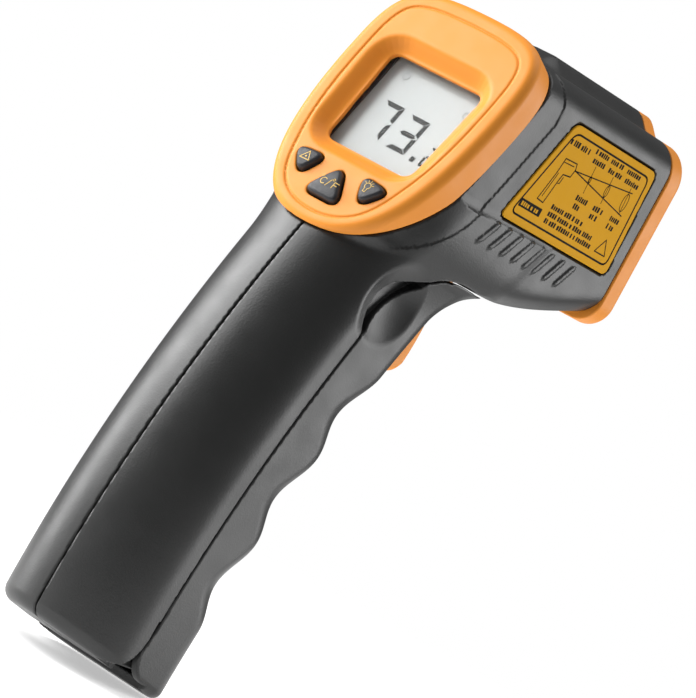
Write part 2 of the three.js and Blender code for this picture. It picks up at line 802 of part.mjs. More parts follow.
class Coil extends THREE.Curve {
  constructor(radius, turns, pitch, leg) {
    super();
    Object.assign(this, { radius, turns, pitch, leg });
  }

  getPoint(t) {
    const legShare = 0.12;
    const inner = THREE.MathUtils.clamp((t - legShare) / (1 - 2 * legShare), 0, 1);
    const angle = Math.PI / 2 + inner * this.turns * 2 * Math.PI;
    const start = Math.max(legShare - t, 0) / legShare;
    const end = Math.max(t - 1 + legShare, 0) / legShare;
    const y = this.radius * Math.cos(angle) - this.leg * (start + end);
    return vec(this.pitch * this.turns * inner, y, this.radius * Math.sin(angle));
  }
}

function wire(curve, radius, steps, sides) {
  const section = new THREE.Shape();
  for (let k = 0; k < sides; k += 1) {
    const turn = 2 * Math.PI * k / sides;
    const x = radius * Math.cos(turn);
    const y = radius * Math.sin(turn);
    if (k === 0) {
      section.moveTo(x, y);
    } else {
      section.lineTo(x, y);
    }
  }
  section.closePath();
  return new THREE.ExtrudeGeometry(section, { steps, extrudePath: curve, bevelEnabled: false });
}

function triggerSpring() {
  const geometry = wire(new Coil(2.5, 2.5, 0.85, 4.5), 0.26, 40, 6);
  geometry.translate(triggerWidth / 2 + 2 * gap, pinY, pinZ);
  return geometry;
}

// ---- Battery and its leads ----
const batteryTilt = THREE.MathUtils.degToRad(7);
const batteryFoot = vec(0, gripBack(42) + 17.4, 17.2);
const batteryMatrix = new THREE.Matrix4().makeRotationX(-batteryTilt).setPosition(batteryFoot);
const terminalX = 6.35;

function roundedBlock(width, depth, corner, z0, z1, segments = 3) {
  const halfW = width / 2;
  const halfD = depth / 2;
  const corners = [
    [-halfW, -halfD],
    [halfW, -halfD],
    [halfW, halfD],
    [-halfW, halfD],
  ];
  const outline = roundedShape(corners, corner);
  const settings = { depth: z1 - z0, bevelEnabled: false, curveSegments: segments };
  const geometry = new THREE.ExtrudeGeometry(outline, settings);
  geometry.translate(0, 0, z0);
  return placed(geometry, batteryMatrix);
}

function batteryPoint(x, y, z) {
  return vec(x, y, z).applyMatrix4(batteryMatrix);
}

const batteryUp = axisZ.clone().transformDirection(batteryMatrix);

function battery() {
  const can = solid(roundedBlock(batteryWidth, batteryThick, 2.4, 0, batteryHeight));
  const plus = solid(rod(2.9, batteryPoint(-terminalX, 0, batteryHeight - 0.5), batteryUp, 2.6, 16));
  const minus = solid(rod(4, batteryPoint(terminalX, 0, batteryHeight - 0.5), batteryUp, 2.4, 6));
  return join(can, plus, minus);
}

function batterySnap() {
  const z0 = batteryHeight + gap;
  const cap = solid(roundedBlock(batteryWidth - 0.8, 14.5, 5, z0, z0 + 4.4, 4));
  const plus = solid(rod(3.3, batteryPoint(-terminalX, 0, z0 - 1), batteryUp, 3.4, 16));
  const minus = solid(rod(4.5, batteryPoint(terminalX, 0, z0 - 1), batteryUp, 3.3, 16));
  return cut(cap, plus, minus);
}

function lead(side) {
  const start = batteryPoint(3.4 * side, 0, batteryHeight + gap + 4.8);
  const curve = new THREE.CatmullRomCurve3([
    start,
    start.clone().add(vec(0, 0.5, 4)),
    vec(3.6 * side, gripBack(81) + 16.6, 81),
    vec(3.8 * side, gripBack(88) + 12, 88),
    vec(4.2 * side, gripBack(93) + 6.8, 93),
    vec(4.6 * side, gripBack(98) + 6.4, 98),
    facePoint(4.8 * side, -21.5, boardFront + 0.8).add(vec(0, -0.8, -1.2)),
  ]);
  return wire(curve, 0.6, 22, 8);
}

// ---- Case screws ----
function caseScrew([y, z]) {
  const shank = screwLength;
  const profile = [
    [0, 0],
    [screwRadius * 0.4, 0],
    [screwRadius, 1.6],
    [screwRadius, shank],
    [screwHeadRadius, shank],
    [screwHeadRadius, shank + 0.9],
    [screwHeadRadius * 0.55, shank + screwHead],
    [0, shank + screwHead],
  ];
  return turned(profile, vec(screwHeadX + screwLength - gap, y, z), axisX.clone().negate(), 14);
}

// ---- Optics ----
const tubeRear = 76;
const tubeFront = 93;

function sensorTube() {
  const length = tubeFront - tubeRear;
  const profile = [
    [2.8, 0],
    [8, 0],
    [8, length],
    [6.9, length],
    [6.9, length - 1.6],
    [6.1, length - 1.6],
    [3.2, 1.4],
    [2.8, 1.4],
    [2.8, 0],
  ];
  return turned(profile, vec(0, tubeRear, opticsZ), axisY, 20);
}

function lensRing() {
  const profile = [[5.7, 0], [8, 0], [8, 0.9], [6.4, 1.5], [5.7, 1.5], [5.7, 0]];
  return turned(profile, vec(0, tubeFront + gap, opticsZ), axisY, 20);
}

function irLens() {
  const profile = [[0, 0], [6.5, 0], [6.5, 0.9], [3.5, 1.2], [0, 1.3]];
  return turned(profile, vec(0, tubeFront - 1.6 + gap, opticsZ), axisY, 20);
}

function thermopile() {
  const profile = [
    [0, 0],
    [4.6, 0],
    [4.6, 0.6],
    [4.1, 0.6],
    [4.1, 3.9],
    [1.8, 3.9],
    [1.8, 3.6],
    [0, 3.6],
  ];
  return turned(profile, vec(0, tubeRear - 4.3, opticsZ), axisY, 16);
}

function laserModule() {
  const profile = [[0, 0], [3.2, 0], [3.2, 11], [1.9, 11], [1.9, 9.6], [0, 9.6]];
  return turned(profile, vec(0, noseSeamY - 8.6, laserZ), axisY, 16);
}

function laserLens() {
  const profile = [[0, 0], [1.5, 0], [1.5, 0.5], [0, 0.9]];
  return turned(profile, vec(0, noseSeamY - 8.6 + 9.6 + 0.3, laserZ), axisY, 12);
}

// ---- Display stack ----
function lcdFrame() {
  const outerFrame = solid(faceBox(-frameHalf, -12.2, 5.3, frameHalf, 17, 9.4));
  return cut(outerFrame, solid(faceBox(-frameHalf + 0.7, -11.3, 4, frameHalf - 0.7, 16.1, 12)));
}

// ---- Materials ----
function finish(color, roughness, metalness = 0) {
  return new THREE.MeshStandardMaterial({ color, roughness, metalness });
}

const greyPlastic = finish(0x4a4c4b, 0.5);
const orangePlastic = finish(0xf59b3d, 0.45);
const keyPlastic = finish(0x35363a, 0.5);
const clearPlastic = finish(0xe8eef0, 0.1);
const lcdFinish = finish(0xdde4e4, 0.25);
const labelFinish = finish(0xd9a036, 0.5);
const boardFinish = finish(0x1f6b3a, 0.5);
const blackPlastic = finish(0x1b1b1c, 0.5);
const steel = finish(0xb4b6b8, 0.3, 1);
const brass = finish(0xc9a14a, 0.3, 1);
const whitePlastic = finish(0xf0f0ec, 0.4);
const redWire = finish(0xb3201c, 0.5);
const chipFinish = finish(0x1a1a1c, 0.4);
const batteryFinish = finish(0x8c1f1f, 0.35);
const lensFinish = finish(0xd8d2c0, 0.2);
const rubberFinish = finish(0xd98a9a, 0.7);

const model = new THREE.Group();

function add(name, piece, material) {
  const geometry = piece instanceof THREE.BufferGeometry ? piece : geometryOf(piece);
  const mesh = new THREE.Mesh(geometry, material);
  mesh.name = name;
  model.add(mesh);
}

add('housing_right', housingHalf(1), greyPlastic);
add('housing_left', housingHalf(-1), greyPlastic);
add('display_bezel', displayBezel(), orangePlastic);
add('display_window', faceBox(-frameHalf, -12, plateDepth + gap, frameHalf, 16.8, 4.95), clearPlastic);
add('front_bezel', noseRing(), orangePlastic);
add('battery_door', batteryDoor(), greyPlastic);
const labelOutline = roundedShape(labelCorners(0), 1.8);
add('label_right', sidePrism(labelOutline, halfHead - 0.5, halfHead - 0.5 + labelThick, 4), labelFinish);
add('trigger', triggerBody(), orangePlastic);
add('trigger_pin', rod(pinRadius, vec(-17, pinY, pinZ), axisX, 34, 14), steel);
add('trigger_spring', triggerSpring(), steel);
add('trigger_board', box(-7, 44.6, 88, 7, 46.2, 101), boardFinish);
const switchBody = solid(box(-3, 46.5, 92, 3, 49.4, 98));
add('trigger_switch', switchBody.add(solid(rod(1.4, vec(0, 49, 95), axisY, 0.9, 10))), blackPlastic);
Object.keys(keyOutlines).forEach((name, k) => {
  add(name, keyBody(name), keyPlastic);
  add(`key_switch_${k + 1}`, keySwitch(name), blackPlastic);
});
add('main_board', mainBoard(), boardFinish);
boardPosts.forEach((place, k) => add(`board_screw_${k + 1}`, boardScrew(place), steel));
add('lcd_frame', lcdFrame(), blackPlastic);
add('lcd_glass', faceBox(-cellHalf, -10.9, 5.6, cellHalf, 15.7, 7.3), lcdFinish);
add('backlight_plate', faceBox(-cellHalf, -8.4, 7.65, cellHalf, 15.7, 9.2), whitePlastic);
add('zebra_strip', faceBox(-cellHalf + 0.3, -10.9, 7.65, cellHalf - 0.3, -8.9, 9.45), rubberFinish);
add('mcu_chip', faceBox(-6, -4, 11.75, 6, 8, 13.2), chipFinish);
add('buzzer', rod(4.6, facePoint(9, -12, 11.75), faceOut.clone().negate(), 4.5, 18), blackPlastic);
add('sensor_tube', sensorTube(), blackPlastic);
add('lens_ring', lensRing(), blackPlastic);
add('ir_lens', irLens(), lensFinish);
add('thermopile', thermopile(), steel);
add('sensor_board', box(-11, tubeRear - 6.25, 117.6, 11, tubeRear - 4.65, 137), boardFinish);
add('laser_module', laserModule(), brass);
add('laser_lens', laserLens(), clearPlastic);
add('battery_9v', battery(), batteryFinish);
add('battery_snap', batterySnap(), blackPlastic);
add('battery_lead_red', lead(1), redWire);
add('battery_lead_black', lead(-1), blackPlastic);
screwPlaces.forEach((place, k) => add(`case_screw_${k + 1}`, caseScrew(place), steel));

// Centre the design on Y and stand its lowest point at z = 0.
const bounds = new THREE.Box3().setFromObject(model, true);
model.position.set(0, -(bounds.min.y + bounds.max.y) / 2, -bounds.min.z);
model.updateMatrixWorld(true);

export default model;
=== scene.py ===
import json
import math

import bpy
import numpy as np
from mathutils import Matrix, Vector


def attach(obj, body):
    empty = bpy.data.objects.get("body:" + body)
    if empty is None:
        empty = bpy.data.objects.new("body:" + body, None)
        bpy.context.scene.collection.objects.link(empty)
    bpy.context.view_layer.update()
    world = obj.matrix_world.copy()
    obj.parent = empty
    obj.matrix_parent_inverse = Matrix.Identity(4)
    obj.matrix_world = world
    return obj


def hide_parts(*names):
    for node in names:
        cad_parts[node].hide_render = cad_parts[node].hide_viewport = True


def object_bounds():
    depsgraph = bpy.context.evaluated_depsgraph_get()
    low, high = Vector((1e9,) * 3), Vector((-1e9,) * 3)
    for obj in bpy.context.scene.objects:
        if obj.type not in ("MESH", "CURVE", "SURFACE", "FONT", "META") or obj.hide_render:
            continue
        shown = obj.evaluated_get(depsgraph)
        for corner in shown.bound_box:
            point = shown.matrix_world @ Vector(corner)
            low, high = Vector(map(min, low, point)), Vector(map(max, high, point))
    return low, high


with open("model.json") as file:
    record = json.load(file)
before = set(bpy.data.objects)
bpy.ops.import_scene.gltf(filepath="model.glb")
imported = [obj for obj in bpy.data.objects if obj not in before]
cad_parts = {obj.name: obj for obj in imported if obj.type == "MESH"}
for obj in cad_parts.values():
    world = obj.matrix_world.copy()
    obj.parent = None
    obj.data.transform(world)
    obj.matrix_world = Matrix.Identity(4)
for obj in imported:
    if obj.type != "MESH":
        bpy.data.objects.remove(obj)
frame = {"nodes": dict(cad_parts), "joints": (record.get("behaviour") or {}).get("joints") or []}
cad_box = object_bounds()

# The looks of a pistol-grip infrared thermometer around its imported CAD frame. Forms are drawn as
# signed distance fields in design millimetres (y = 0 at the back of the grip's foot, z = 0 at the
# lowest point) and meshed, then moved to the frame by the place of the battery door's hinge.

MM = 0.001
HINGE_Y, HINGE_Z = 23.0, 9.5
hinge_joint = next(j for j in frame["joints"] if j["name"] == "battery_door_hinge")
ORIGIN = np.array([0.0, hinge_joint["pos_m"][1] / MM - HINGE_Y, hinge_joint["pos_m"][2] / MM - HINGE_Z])

# ---- Sizes of the design, in millimetres ----
LENGTH = 101.0
GRIP_HALF, GRIP_HALF_GAIN = 16.3, 0.8
GRIP_DEPTH, GRIP_DEPTH_GAIN = 33.2, 3.6
BEND_RADIUS = 281.0
BACK_ROUND = 14.0
FRONT_CORNER, SCALLOP_CORNER = 6.5, 3.5
SCALLOP_DEPTH, SCALLOP_PITCH, SCALLOP_FIRST, SCALLOPS = 1.5, 20.6, 27.0, 3
FOOT_RISE, FOOT_SLOPE = 6.2, 0.19
HEAD_HALF, HEAD_TOP, HEAD_CORNER = 21.0, 149.3, 7.0
BARREL_REAR, BARREL_FRONT, BARREL_REAR_Y = 102.0, 109.0, 60.0
HUMP_RISE, HUMP_START, HUMP_FULL = 3.6, 49.0, 58.0
WALL = 2.0
GAP = 0.35
SPLIT = 0.15
FACE_HALF, FACE_UP, FACE_DOWN = 21.5, 29.9, 28.9
FACE_ANCHOR = np.array([0.0, 26.0, 125.5])
TILT = math.radians(21)
SEAM_DEPTH = 8.2
PLATE = 3.6
NOSE_SEAM = 94.3
APERTURE, OPTICS_Z = 11.0, 126.0
LASER_Z, LASER_BORE = 142.6, 2.4
SLOT_HALF = 6.1
PIN_Y, PIN_Z = 58.0, 107.8


# ---- Field helpers ----
def smooth(t):
    t = np.clip(t, 0, 1)
    return t * t * (3 - 2 * t)


def both(a, b, r=0.0):
    """Where both fields are inside, with the edge between them rounded by r."""
    if r == 0:
        return np.maximum(a, b)
    return np.minimum(np.maximum(a, b), -r) + np.hypot(np.maximum(a + r, 0), np.maximum(b + r, 0))


def either(a, b, r=0.0):
    """Where either field is inside, with the inner corner filled by r."""
    return -both(-a, -b, r)


def less(a, b, r=0.0):
    return both(a, -b, r)


def box_field(x, y, z, low, high, r=0.0):
    mid = [(p + q) / 2 for p, q in zip(low, high)]
    half = [(q - p) / 2 - r for p, q in zip(low, high)]
    dx, dy, dz = (np.abs(v - m) - h for v, m, h in zip((x, y, z), mid, half))
    out = np.sqrt(np.maximum(dx, 0) ** 2 + np.maximum(dy, 0) ** 2 + np.maximum(dz, 0) ** 2)
    return out + np.minimum(np.maximum(np.maximum(dx, dy), dz), 0) - r


def rod_x(x, y, z, cy, cz, radius, x0, x1):
    return np.maximum(np.hypot(y - cy, z - cz) - radius, np.maximum(x0 - x, x - x1))


class Outline:
    """Signed distance to a closed outline, kept on a fine grid and read back by interpolation."""

    def __init__(self, points, step=0.2, margin=4.0):
        points = np.asarray(points, float)
        self.low = points.min(0) - margin
        counts = np.ceil((points.max(0) + margin - self.low) / step).astype(int) + 1
        self.step = step
        u = self.low[0] + step * np.arange(counts[0])
        v = self.low[1] + step * np.arange(counts[1])
        gu, gv = np.meshgrid(u, v, indexing="ij")
        best = np.full(gu.shape, 1e9)
        inside = np.zeros(gu.shape, bool)
        for a, b in zip(points, np.roll(points, -1, axis=0)):
            edge = b - a
            size = float(edge @ edge)
            if size < 1e-12:
                continue
            t = np.clip(((gu - a[0]) * edge[0] + (gv - a[1]) * edge[1]) / size, 0, 1)
            best = np.minimum(best, (gu - a[0] - t * edge[0]) ** 2 + (gv - a[1] - t * edge[1]) ** 2)
            if a[1] != b[1]:
                crosses = (a[1] > gv) != (b[1] > gv)
                inside ^= crosses & (gu < a[0] + (gv - a[1]) * edge[0] / edge[1])
        self.grid = np.where(inside, -1, 1) * np.sqrt(best)

    def __call__(self, u, v):
        fu = np.clip((u - self.low[0]) / self.step, 0, self.grid.shape[0] - 1.001)
        fv = np.clip((v - self.low[1]) / self.step, 0, self.grid.shape[1] - 1.001)
        iu, iv = fu.astype(int), fv.astype(int)
        du, dv = fu - iu, fv - iv
        g = self.grid
        near = g[iu, iv] * (1 - dv) + g[iu, iv + 1] * dv
        far = g[iu + 1, iv] * (1 - dv) + g[iu + 1, iv + 1] * dv
        return near * (1 - du) + far * du


def bezier(points, count=24):
    """Points of a quadratic or cubic curve, without its last one."""
    t = np.linspace(0, 1, count, endpoint=False)[:, None]
    p = [np.asarray(q, float) for q in points]
    if len(p) == 3:
        return (1 - t) ** 2 * p[0] + 2 * t * (1 - t) * p[1] + t * t * p[2]
    return (1 - t) ** 3 * p[0] + 3 * t * (1 - t) ** 2 * p[1] + 3 * t * t * (1 - t) * p[2] + t**3 * p[3]


def rounded(corners, radius, count=8):
    """A polygon with its corners turned into quadratic curves."""
    corners = [np.asarray(c, float) for c in corners]
    out = []
    for k, here in enumerate(corners):
        before, after = corners[k - 1], corners[(k + 1) % len(corners)]
        enter = here + (before - here) / np.linalg.norm(before - here) * radius
        leave = here + (after - here) / np.linalg.norm(after - here) * radius
        out.append(bezier([enter, here, leave], count))
        out.append([leave])
    return np.vstack(out)


def arc(centre, radius, start, end, count=24):
    turns = np.radians(np.linspace(start, end, count))
    return np.stack([centre[0] + radius * np.cos(turns), centre[1] + radius * np.sin(turns)], 1)


# ---- Meshing ----
CORNER = np.array([[i, j, k] for i in (0, 1) for j in (0, 1) for k in (0, 1)])
EDGES = [(a, b) for a in range(8) for b in range(a + 1, 8) if np.abs(CORNER[a] - CORNER[b]).sum() == 1]


def surface(field, low, high, step):
    """Vertices and quads of the zero level of field, one vertex for each crossed cell."""
    low = np.asarray(low, float)
    counts = np.ceil((np.asarray(high, float) - low) / step).astype(int) + 1
    axes = [low[k] + step * np.arange(counts[k]) for k in range(3)]
    values = np.empty(counts, np.float32)
    slab = 24
    for start in range(0, counts[0], slab):
        x, y, z = np.meshgrid(axes[0][start:start + slab], axes[1], axes[2], indexing="ij")
        values[start:start + slab] = field(x, y, z)
    corners = [values[i:counts[0] - 1 + i, j:counts[1] - 1 + j, k:counts[2] - 1 + k] for i, j, k in CORNER]
    below = sum((c < 0).astype(np.int8) for c in corners)
    cells = np.argwhere((below > 0) & (below < 8))
    at = tuple(cells.T)
    value = np.stack([c[at] for c in corners], 1).astype(float)
    total = np.zeros((len(cells), 3))
    number = np.zeros(len(cells))
    for a, b in EDGES:
        va, vb = value[:, a], value[:, b]
        crossed = (va < 0) != (vb < 0)
        t = np.where(crossed, va / np.where(crossed, va - vb, 1), 0)[:, None]
        point = CORNER[a] + (CORNER[b] - CORNER[a]) * t
        total += np.where(crossed[:, None], point, 0)
        number += crossed
    points = low + (cells + total / number[:, None]) * step
    index = np.full([c - 1 for c in counts], -1, np.int64)
    index[at] = np.arange(len(cells))
    quads = []
    for axis in range(3):
        p, q = (axis + 1) % 3, (axis + 2) % 3
        first = [slice(None)] * 3
        second = [slice(None)] * 3
        first[axis], second[axis] = slice(0, -1), slice(1, None)
        inner = [slice(None)] * 3
        inner[p], inner[q] = slice(1, -1), slice(1, -1)
        a, b = values[tuple(first)][tuple(inner)], values[tuple(second)][tuple(inner)]
        where = np.argwhere((a < 0) != (b < 0))
        falls = (a < 0)[tuple(where.T)]
        ring = []
        for dp, dq in ((0, 0), (1, 0), (1, 1), (0, 1)):
            cell = where.copy()
            cell[:, p] += dp
            cell[:, q] += dq
            ring.append(index[tuple(cell.T)])
        ring = np.stack(ring, 1)
        ring[~falls] = ring[~falls][:, ::-1]
        quads.append(ring)
    return points, np.vstack(quads)


def slope(field, p, reach=0.06):
    """The field's value and gradient at points."""
    grad = np.empty_like(p)
    for k in range(3):
        ahead, behind = p.copy(), p.copy()
        ahead[:, k] += reach
        behind[:, k] -= reach
        grad[:, k] = (field(*ahead.T) - field(*behind.T)) / (2 * reach)
    return field(*p.T), grad


def settle(field, points, step, rounds=3):
    """Moves points on to the zero level, each by less than a cell."""
    start = points.copy()
    for _ in range(rounds):
        value, grad = slope(field, points)
        size = np.maximum((grad**2).sum(1), 0.05)
        points = points - 0.9 * grad * (value / size)[:, None]
        points = np.clip(points, start - 0.6 * step, start + 0.6 * step)
    return points


def frame_points(points, basis=None, anchor=None):
    """Design points (or local points of a turned basis) to the frame's metres."""
    if basis is not None:
        points = points @ basis + anchor
    return (points + ORIGIN) * MM


def new_object(name, points, faces, material, smooth_shade=True, normals=None):
    mesh = bpy.data.meshes.new(name)
    mesh.from_pydata([tuple(p) for p in points], [], [tuple(int(i) for i in f) for f in faces])
    mesh.validate()
    if smooth_shade:
        mesh.shade_smooth()
    if normals is not None and len(mesh.vertices) == len(normals):
        mesh.normals_split_custom_set_from_vertices([tuple(n) for n in normals])
    mesh.materials.append(material)
    piece = bpy.data.objects.new(name, mesh)
    bpy.context.scene.collection.objects.link(piece)
    return piece


def place(piece, body, slot, *nodes):
    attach(piece, body)
    if nodes:
        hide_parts(*nodes)
    return piece


def thinned(points, quads, share):
    """Fewer faces where the surface is plain, by an edge-collapse pass."""
    mesh = bpy.data.meshes.new("thin")
    mesh.from_pydata([tuple(p) for p in points], [], [tuple(int(i) for i in f) for f in quads])
    piece = bpy.data.objects.new("thin", mesh)
    bpy.context.scene.collection.objects.link(piece)
    collapse = piece.modifiers.new("collapse", "DECIMATE")
    collapse.ratio = share
    graph = bpy.context.evaluated_depsgraph_get()
    done = piece.evaluated_get(graph).to_mesh()
    out = np.empty(len(done.vertices) * 3)
    done.vertices.foreach_get("co", out)
    faces = [tuple(f.vertices) for f in done.polygons]
    piece.evaluated_get(graph).to_mesh_clear()
    bpy.data.objects.remove(piece)
    bpy.data.meshes.remove(mesh)
    return out.reshape(-1, 3), faces


MOST_TRIANGLES = 150000


def form(name, field, low, high, step, material, basis=None, anchor=None):
    """A piece whose surface is the zero level of a field, smooth shaded with the field's own normals."""
    points, faces = surface(field, low, high, step)
    points = settle(field, points, step)
    if len(faces) * 2 > MOST_TRIANGLES:
        points, faces = thinned(points, faces, MOST_TRIANGLES / (len(faces) * 2))
        points = settle(field, points, step, 1)
    _, normals = slope(field, points, 0.1)
    normals /= np.maximum(np.linalg.norm(normals, axis=1), 1e-6)[:, None]
    if basis is not None:
        normals = normals @ basis
        if np.linalg.det(basis) < 0:
            faces = [tuple(f)[::-1] for f in faces]
    return new_object(name, frame_points(points, basis, anchor), faces, material, True, normals)


# ---- Grip and head ----
def grip_back(z):
    return z * z / (2 * BEND_RADIUS) - 0.25


def scallop(z):
    turns = (z - SCALLOP_FIRST) / SCALLOP_PITCH
    return np.where((turns < -0.5) | (turns > SCALLOPS - 0.5), 0, (1 + np.cos(2 * np.pi * turns)) / 2)


THROAT_Z, THROAT_RADIUS = 92.5, 11.0


def grip_front(z):
    rise = np.clip(z - THROAT_Z, 0, THROAT_RADIUS * 0.95)
    throat = THROAT_RADIUS - np.sqrt(THROAT_RADIUS**2 - rise**2)
    return grip_back(z) + GRIP_DEPTH + GRIP_DEPTH_GAIN * z / 100 + throat - SCALLOP_DEPTH * scallop(z)


def grip_half(z):
    straight = GRIP_HALF + GRIP_HALF_GAIN * z / 100
    return straight + (HEAD_HALF - 0.4 - straight) * smooth((z - 92) / 22)


def grip_field(x, y, z):
    half = grip_half(z)
    ax = np.abs(x)
    behind = y - grip_back(z) - BACK_ROUND
    gx, gy = ax / half**2, behind / BACK_ROUND**2
    k = np.sqrt((ax / half) ** 2 + (behind / BACK_ROUND) ** 2)
    back = k * (k - 1) / np.maximum(np.hypot(gx, gy), 1e-6)
    corner = FRONT_CORNER + SCALLOP_CORNER * scallop(z)
    dx, dy = ax - half + corner, y - grip_front(z) + corner
    front = np.hypot(np.maximum(dx, 0), np.maximum(dy, 0)) + np.minimum(np.maximum(dx, dy), 0) - corner
    front = np.maximum(front, z - 116)
    return np.where(behind < 0, np.maximum(back, z - 116), front)


def barrel_bottom(y):
    share = np.clip((y - BARREL_REAR_Y) / (NOSE_SEAM - BARREL_REAR_Y), 0, 1)
    return BARREL_REAR + (BARREL_FRONT - BARREL_REAR) * smooth(share * 0.5) * 2


def crest(x, y):
    """How far the spine along the barrel stands above its shoulders."""
    start = smooth((y - HUMP_START) / (HUMP_FULL - HUMP_START))
    return HUMP_RISE * start * smooth((11.2 - np.abs(x)) / 5.4)


def head_field(x, y, z, drop=0.0):
    top = (z - HEAD_TOP - crest(x, y)) / 1.12
    sides = both(np.abs(x) - HEAD_HALF, top, HEAD_CORNER)
    return both(sides, barrel_bottom(y) - drop - z, HEAD_CORNER - drop)


# ---- The display's own axes: x, s up the face, n into the face ----
FACE_BASIS = np.array([
    [1, 0, 0],
    [0, math.sin(TILT), math.cos(TILT)],
    [0, math.cos(TILT), -math.sin(TILT)],
])


def face_s(y, z):
    return (y - FACE_ANCHOR[1]) * math.sin(TILT) + (z - FACE_ANCHOR[2]) * math.cos(TILT)


def face_n(y, z):
    return (y - FACE_ANCHOR[1]) * math.cos(TILT) - (z - FACE_ANCHOR[2]) * math.sin(TILT)


def face_yz(s, n):
    y = FACE_ANCHOR[1] + s * math.sin(TILT) + n * math.cos(TILT)
    return y, FACE_ANCHOR[2] + s * math.cos(TILT) - n * math.sin(TILT)


WAIST = FACE_UP * 0.43
lower_right = bezier([
    (0, -FACE_DOWN), (FACE_HALF * 0.7, -FACE_DOWN), (FACE_HALF * 1.02, -FACE_DOWN * 0.55), (FACE_HALF, WAIST),
], 40)
upper_right = bezier([
    (FACE_HALF, WAIST), (FACE_HALF, FACE_UP * 0.935), (FACE_HALF * 0.75, FACE_UP), (0, FACE_UP),
], 30)
shield = Outline(np.vstack([
    lower_right, upper_right, [[0, FACE_UP]], upper_right[:0:-1] * (-1, 1), lower_right[::-1] * (-1, 1),
]))
SKY = 70.0
column = Outline(np.vstack([
    lower_right, [[FACE_HALF, WAIST], [FACE_HALF, SKY], [-FACE_HALF, SKY], [-FACE_HALF, WAIST]],
    lower_right[:0:-1] * (-1, 1),
]), 0.3)

# The seam between surround and housing, from the side.
tip_z = FACE_ANCHOR[2] - FACE_DOWN * math.cos(TILT) - 0.1
TIP = np.array([float(grip_back(tip_z)), tip_z])
SEAM_BEND = np.array(face_yz(-7, SEAM_DEPTH))
SEAM_TOP = np.array(face_yz(FACE_UP + 8, SEAM_DEPTH))
seam = Outline(np.vstack([
    [[-40, SEAM_TOP[1]], [-40, TIP[1] - 4.6], TIP - (4, 4.6)],
    bezier([TIP, TIP + 9.5, SEAM_BEND], 24), [SEAM_BEND, SEAM_TOP],
]), 0.3)


# ---- The battery door's edge, from the side ----
def door_seam(z):
    return grip_back(z) + 16.9


LOBE = 6.9
SHOULDER_Z, DOOR_TOP, DOOR_TOP_Y = 84.8, 102.4, 55.0
seam_heights = np.linspace(HINGE_Z + 6, SHOULDER_Z, 12)
door_back = np.stack([door_seam(seam_heights), seam_heights], 1)
door_start = np.array([door_seam(SHOULDER_Z), SHOULDER_Z])
arch = bezier([door_start, (door_start[0] - 1.6, 92.6), (32.4, 96.6)], 12)
rise = bezier([(32.4, 96.6), (37.5, 98.6), (42.7, 101.3)], 8)
brow = bezier([(42.7, 101.3), (47.5, 103.2), (DOOR_TOP_Y, DOOR_TOP)], 10)
door_edge = np.vstack([arch, rise, brow, [[DOOR_TOP_Y, DOOR_TOP], [80, DOOR_TOP]]])
foot_side = [[80, -10], [HINGE_Y - LOBE, -10], [HINGE_Y - LOBE, HINGE_Z]]
door_hole = Outline(np.vstack([foot_side, door_back, door_edge]), 0.25)
lobe_arc = arc((HINGE_Y, HINGE_Z), LOBE, -90, -180, 16)
door_form = Outline(np.vstack([[[80, -10], [HINGE_Y, -10]], lobe_arc, door_back, door_edge]), 0.25)
pry_notch = Outline(np.vstack([
    [[29.4, 84.2], [31.1, 85.4]], bezier([(31.1, 85.4), (32.6, 91.8), (39.4, 98.2)], 12),
    [[39.4, 98.2], [39.9, 101], [30, 103], [22, 95]],
]), 0.2)


def head_trimmed(x, y, z):
    s = face_s(y, z)
    return both(head_field(x, y, z), column(x, s) + 0.25, 0.8)


def body_field(x, y, z):
    """The whole grey body before it is parted and hollowed."""
    return either(grip_field(x, y, z), head_trimmed(x, y, z), 3.2)


def foot_field(y, z):
    return (FOOT_RISE - FOOT_SLOPE * y - z) / math.hypot(1, FOOT_SLOPE)


# A shallow collar follows the display's seam; its front edge catches the light.
def collar_share(y, z):
    s, n = face_s(y, z), face_n(y, z)
    edge = 15.7 - 0.0205 * np.maximum(-2 - s, 0) ** 2 - 0.055 * np.maximum(s - 20, 0) ** 2
    fade = smooth((s + 23.5) / 4) * smooth((30 - s) / 2)
    return smooth((edge - n) / 0.55 + 0.5) * fade


COLLAR = 0.32
SCOOP_Y, SCOOP_Z, SCOOP_RADIUS, SCOOP_DEPTH = 33.4, 92.4, 9.3, 2.3
SCOOP_BALL = (SCOOP_RADIUS**2 + SCOOP_DEPTH**2) / (2 * SCOOP_DEPTH)


def scoop_field(x, y, z):
    out = np.abs(x) - grip_half(z) - SCOOP_BALL + SCOOP_DEPTH
    return np.sqrt(out**2 + (y - SCOOP_Y) ** 2 + (z - SCOOP_Z) ** 2) - SCOOP_BALL


def wall_share(y, z):
    """Extra wall under the thumb scoop, so that it stays closed."""
    return 3.1 * smooth((SCOOP_RADIUS + 4 - np.hypot(y - SCOOP_Y, z - SCOOP_Z)) / 3)


RIBS, RIB_PITCH, RIB_FIRST, RIB_LEAN = 8, 4.6, 43.2, 0.66
RIB_LOW, RIB_HIGH, RIB_PROUD = 111.8, 116.8, 0.42


def rib_bump(y, z):
    """The row of slanted ridges under the label."""
    along = (y - RIB_FIRST - RIB_LEAN * (z - RIB_LOW)) / RIB_PITCH
    nearest = np.clip(np.round(along), 0, RIBS - 1)
    across = (along - nearest) * RIB_PITCH
    run = np.maximum(np.maximum(RIB_LOW + 0.5 - z, z - RIB_HIGH + 0.5), 0)
    far = np.hypot(across, run)
    return RIB_PROUD * smooth((1.15 - far) / 0.75)


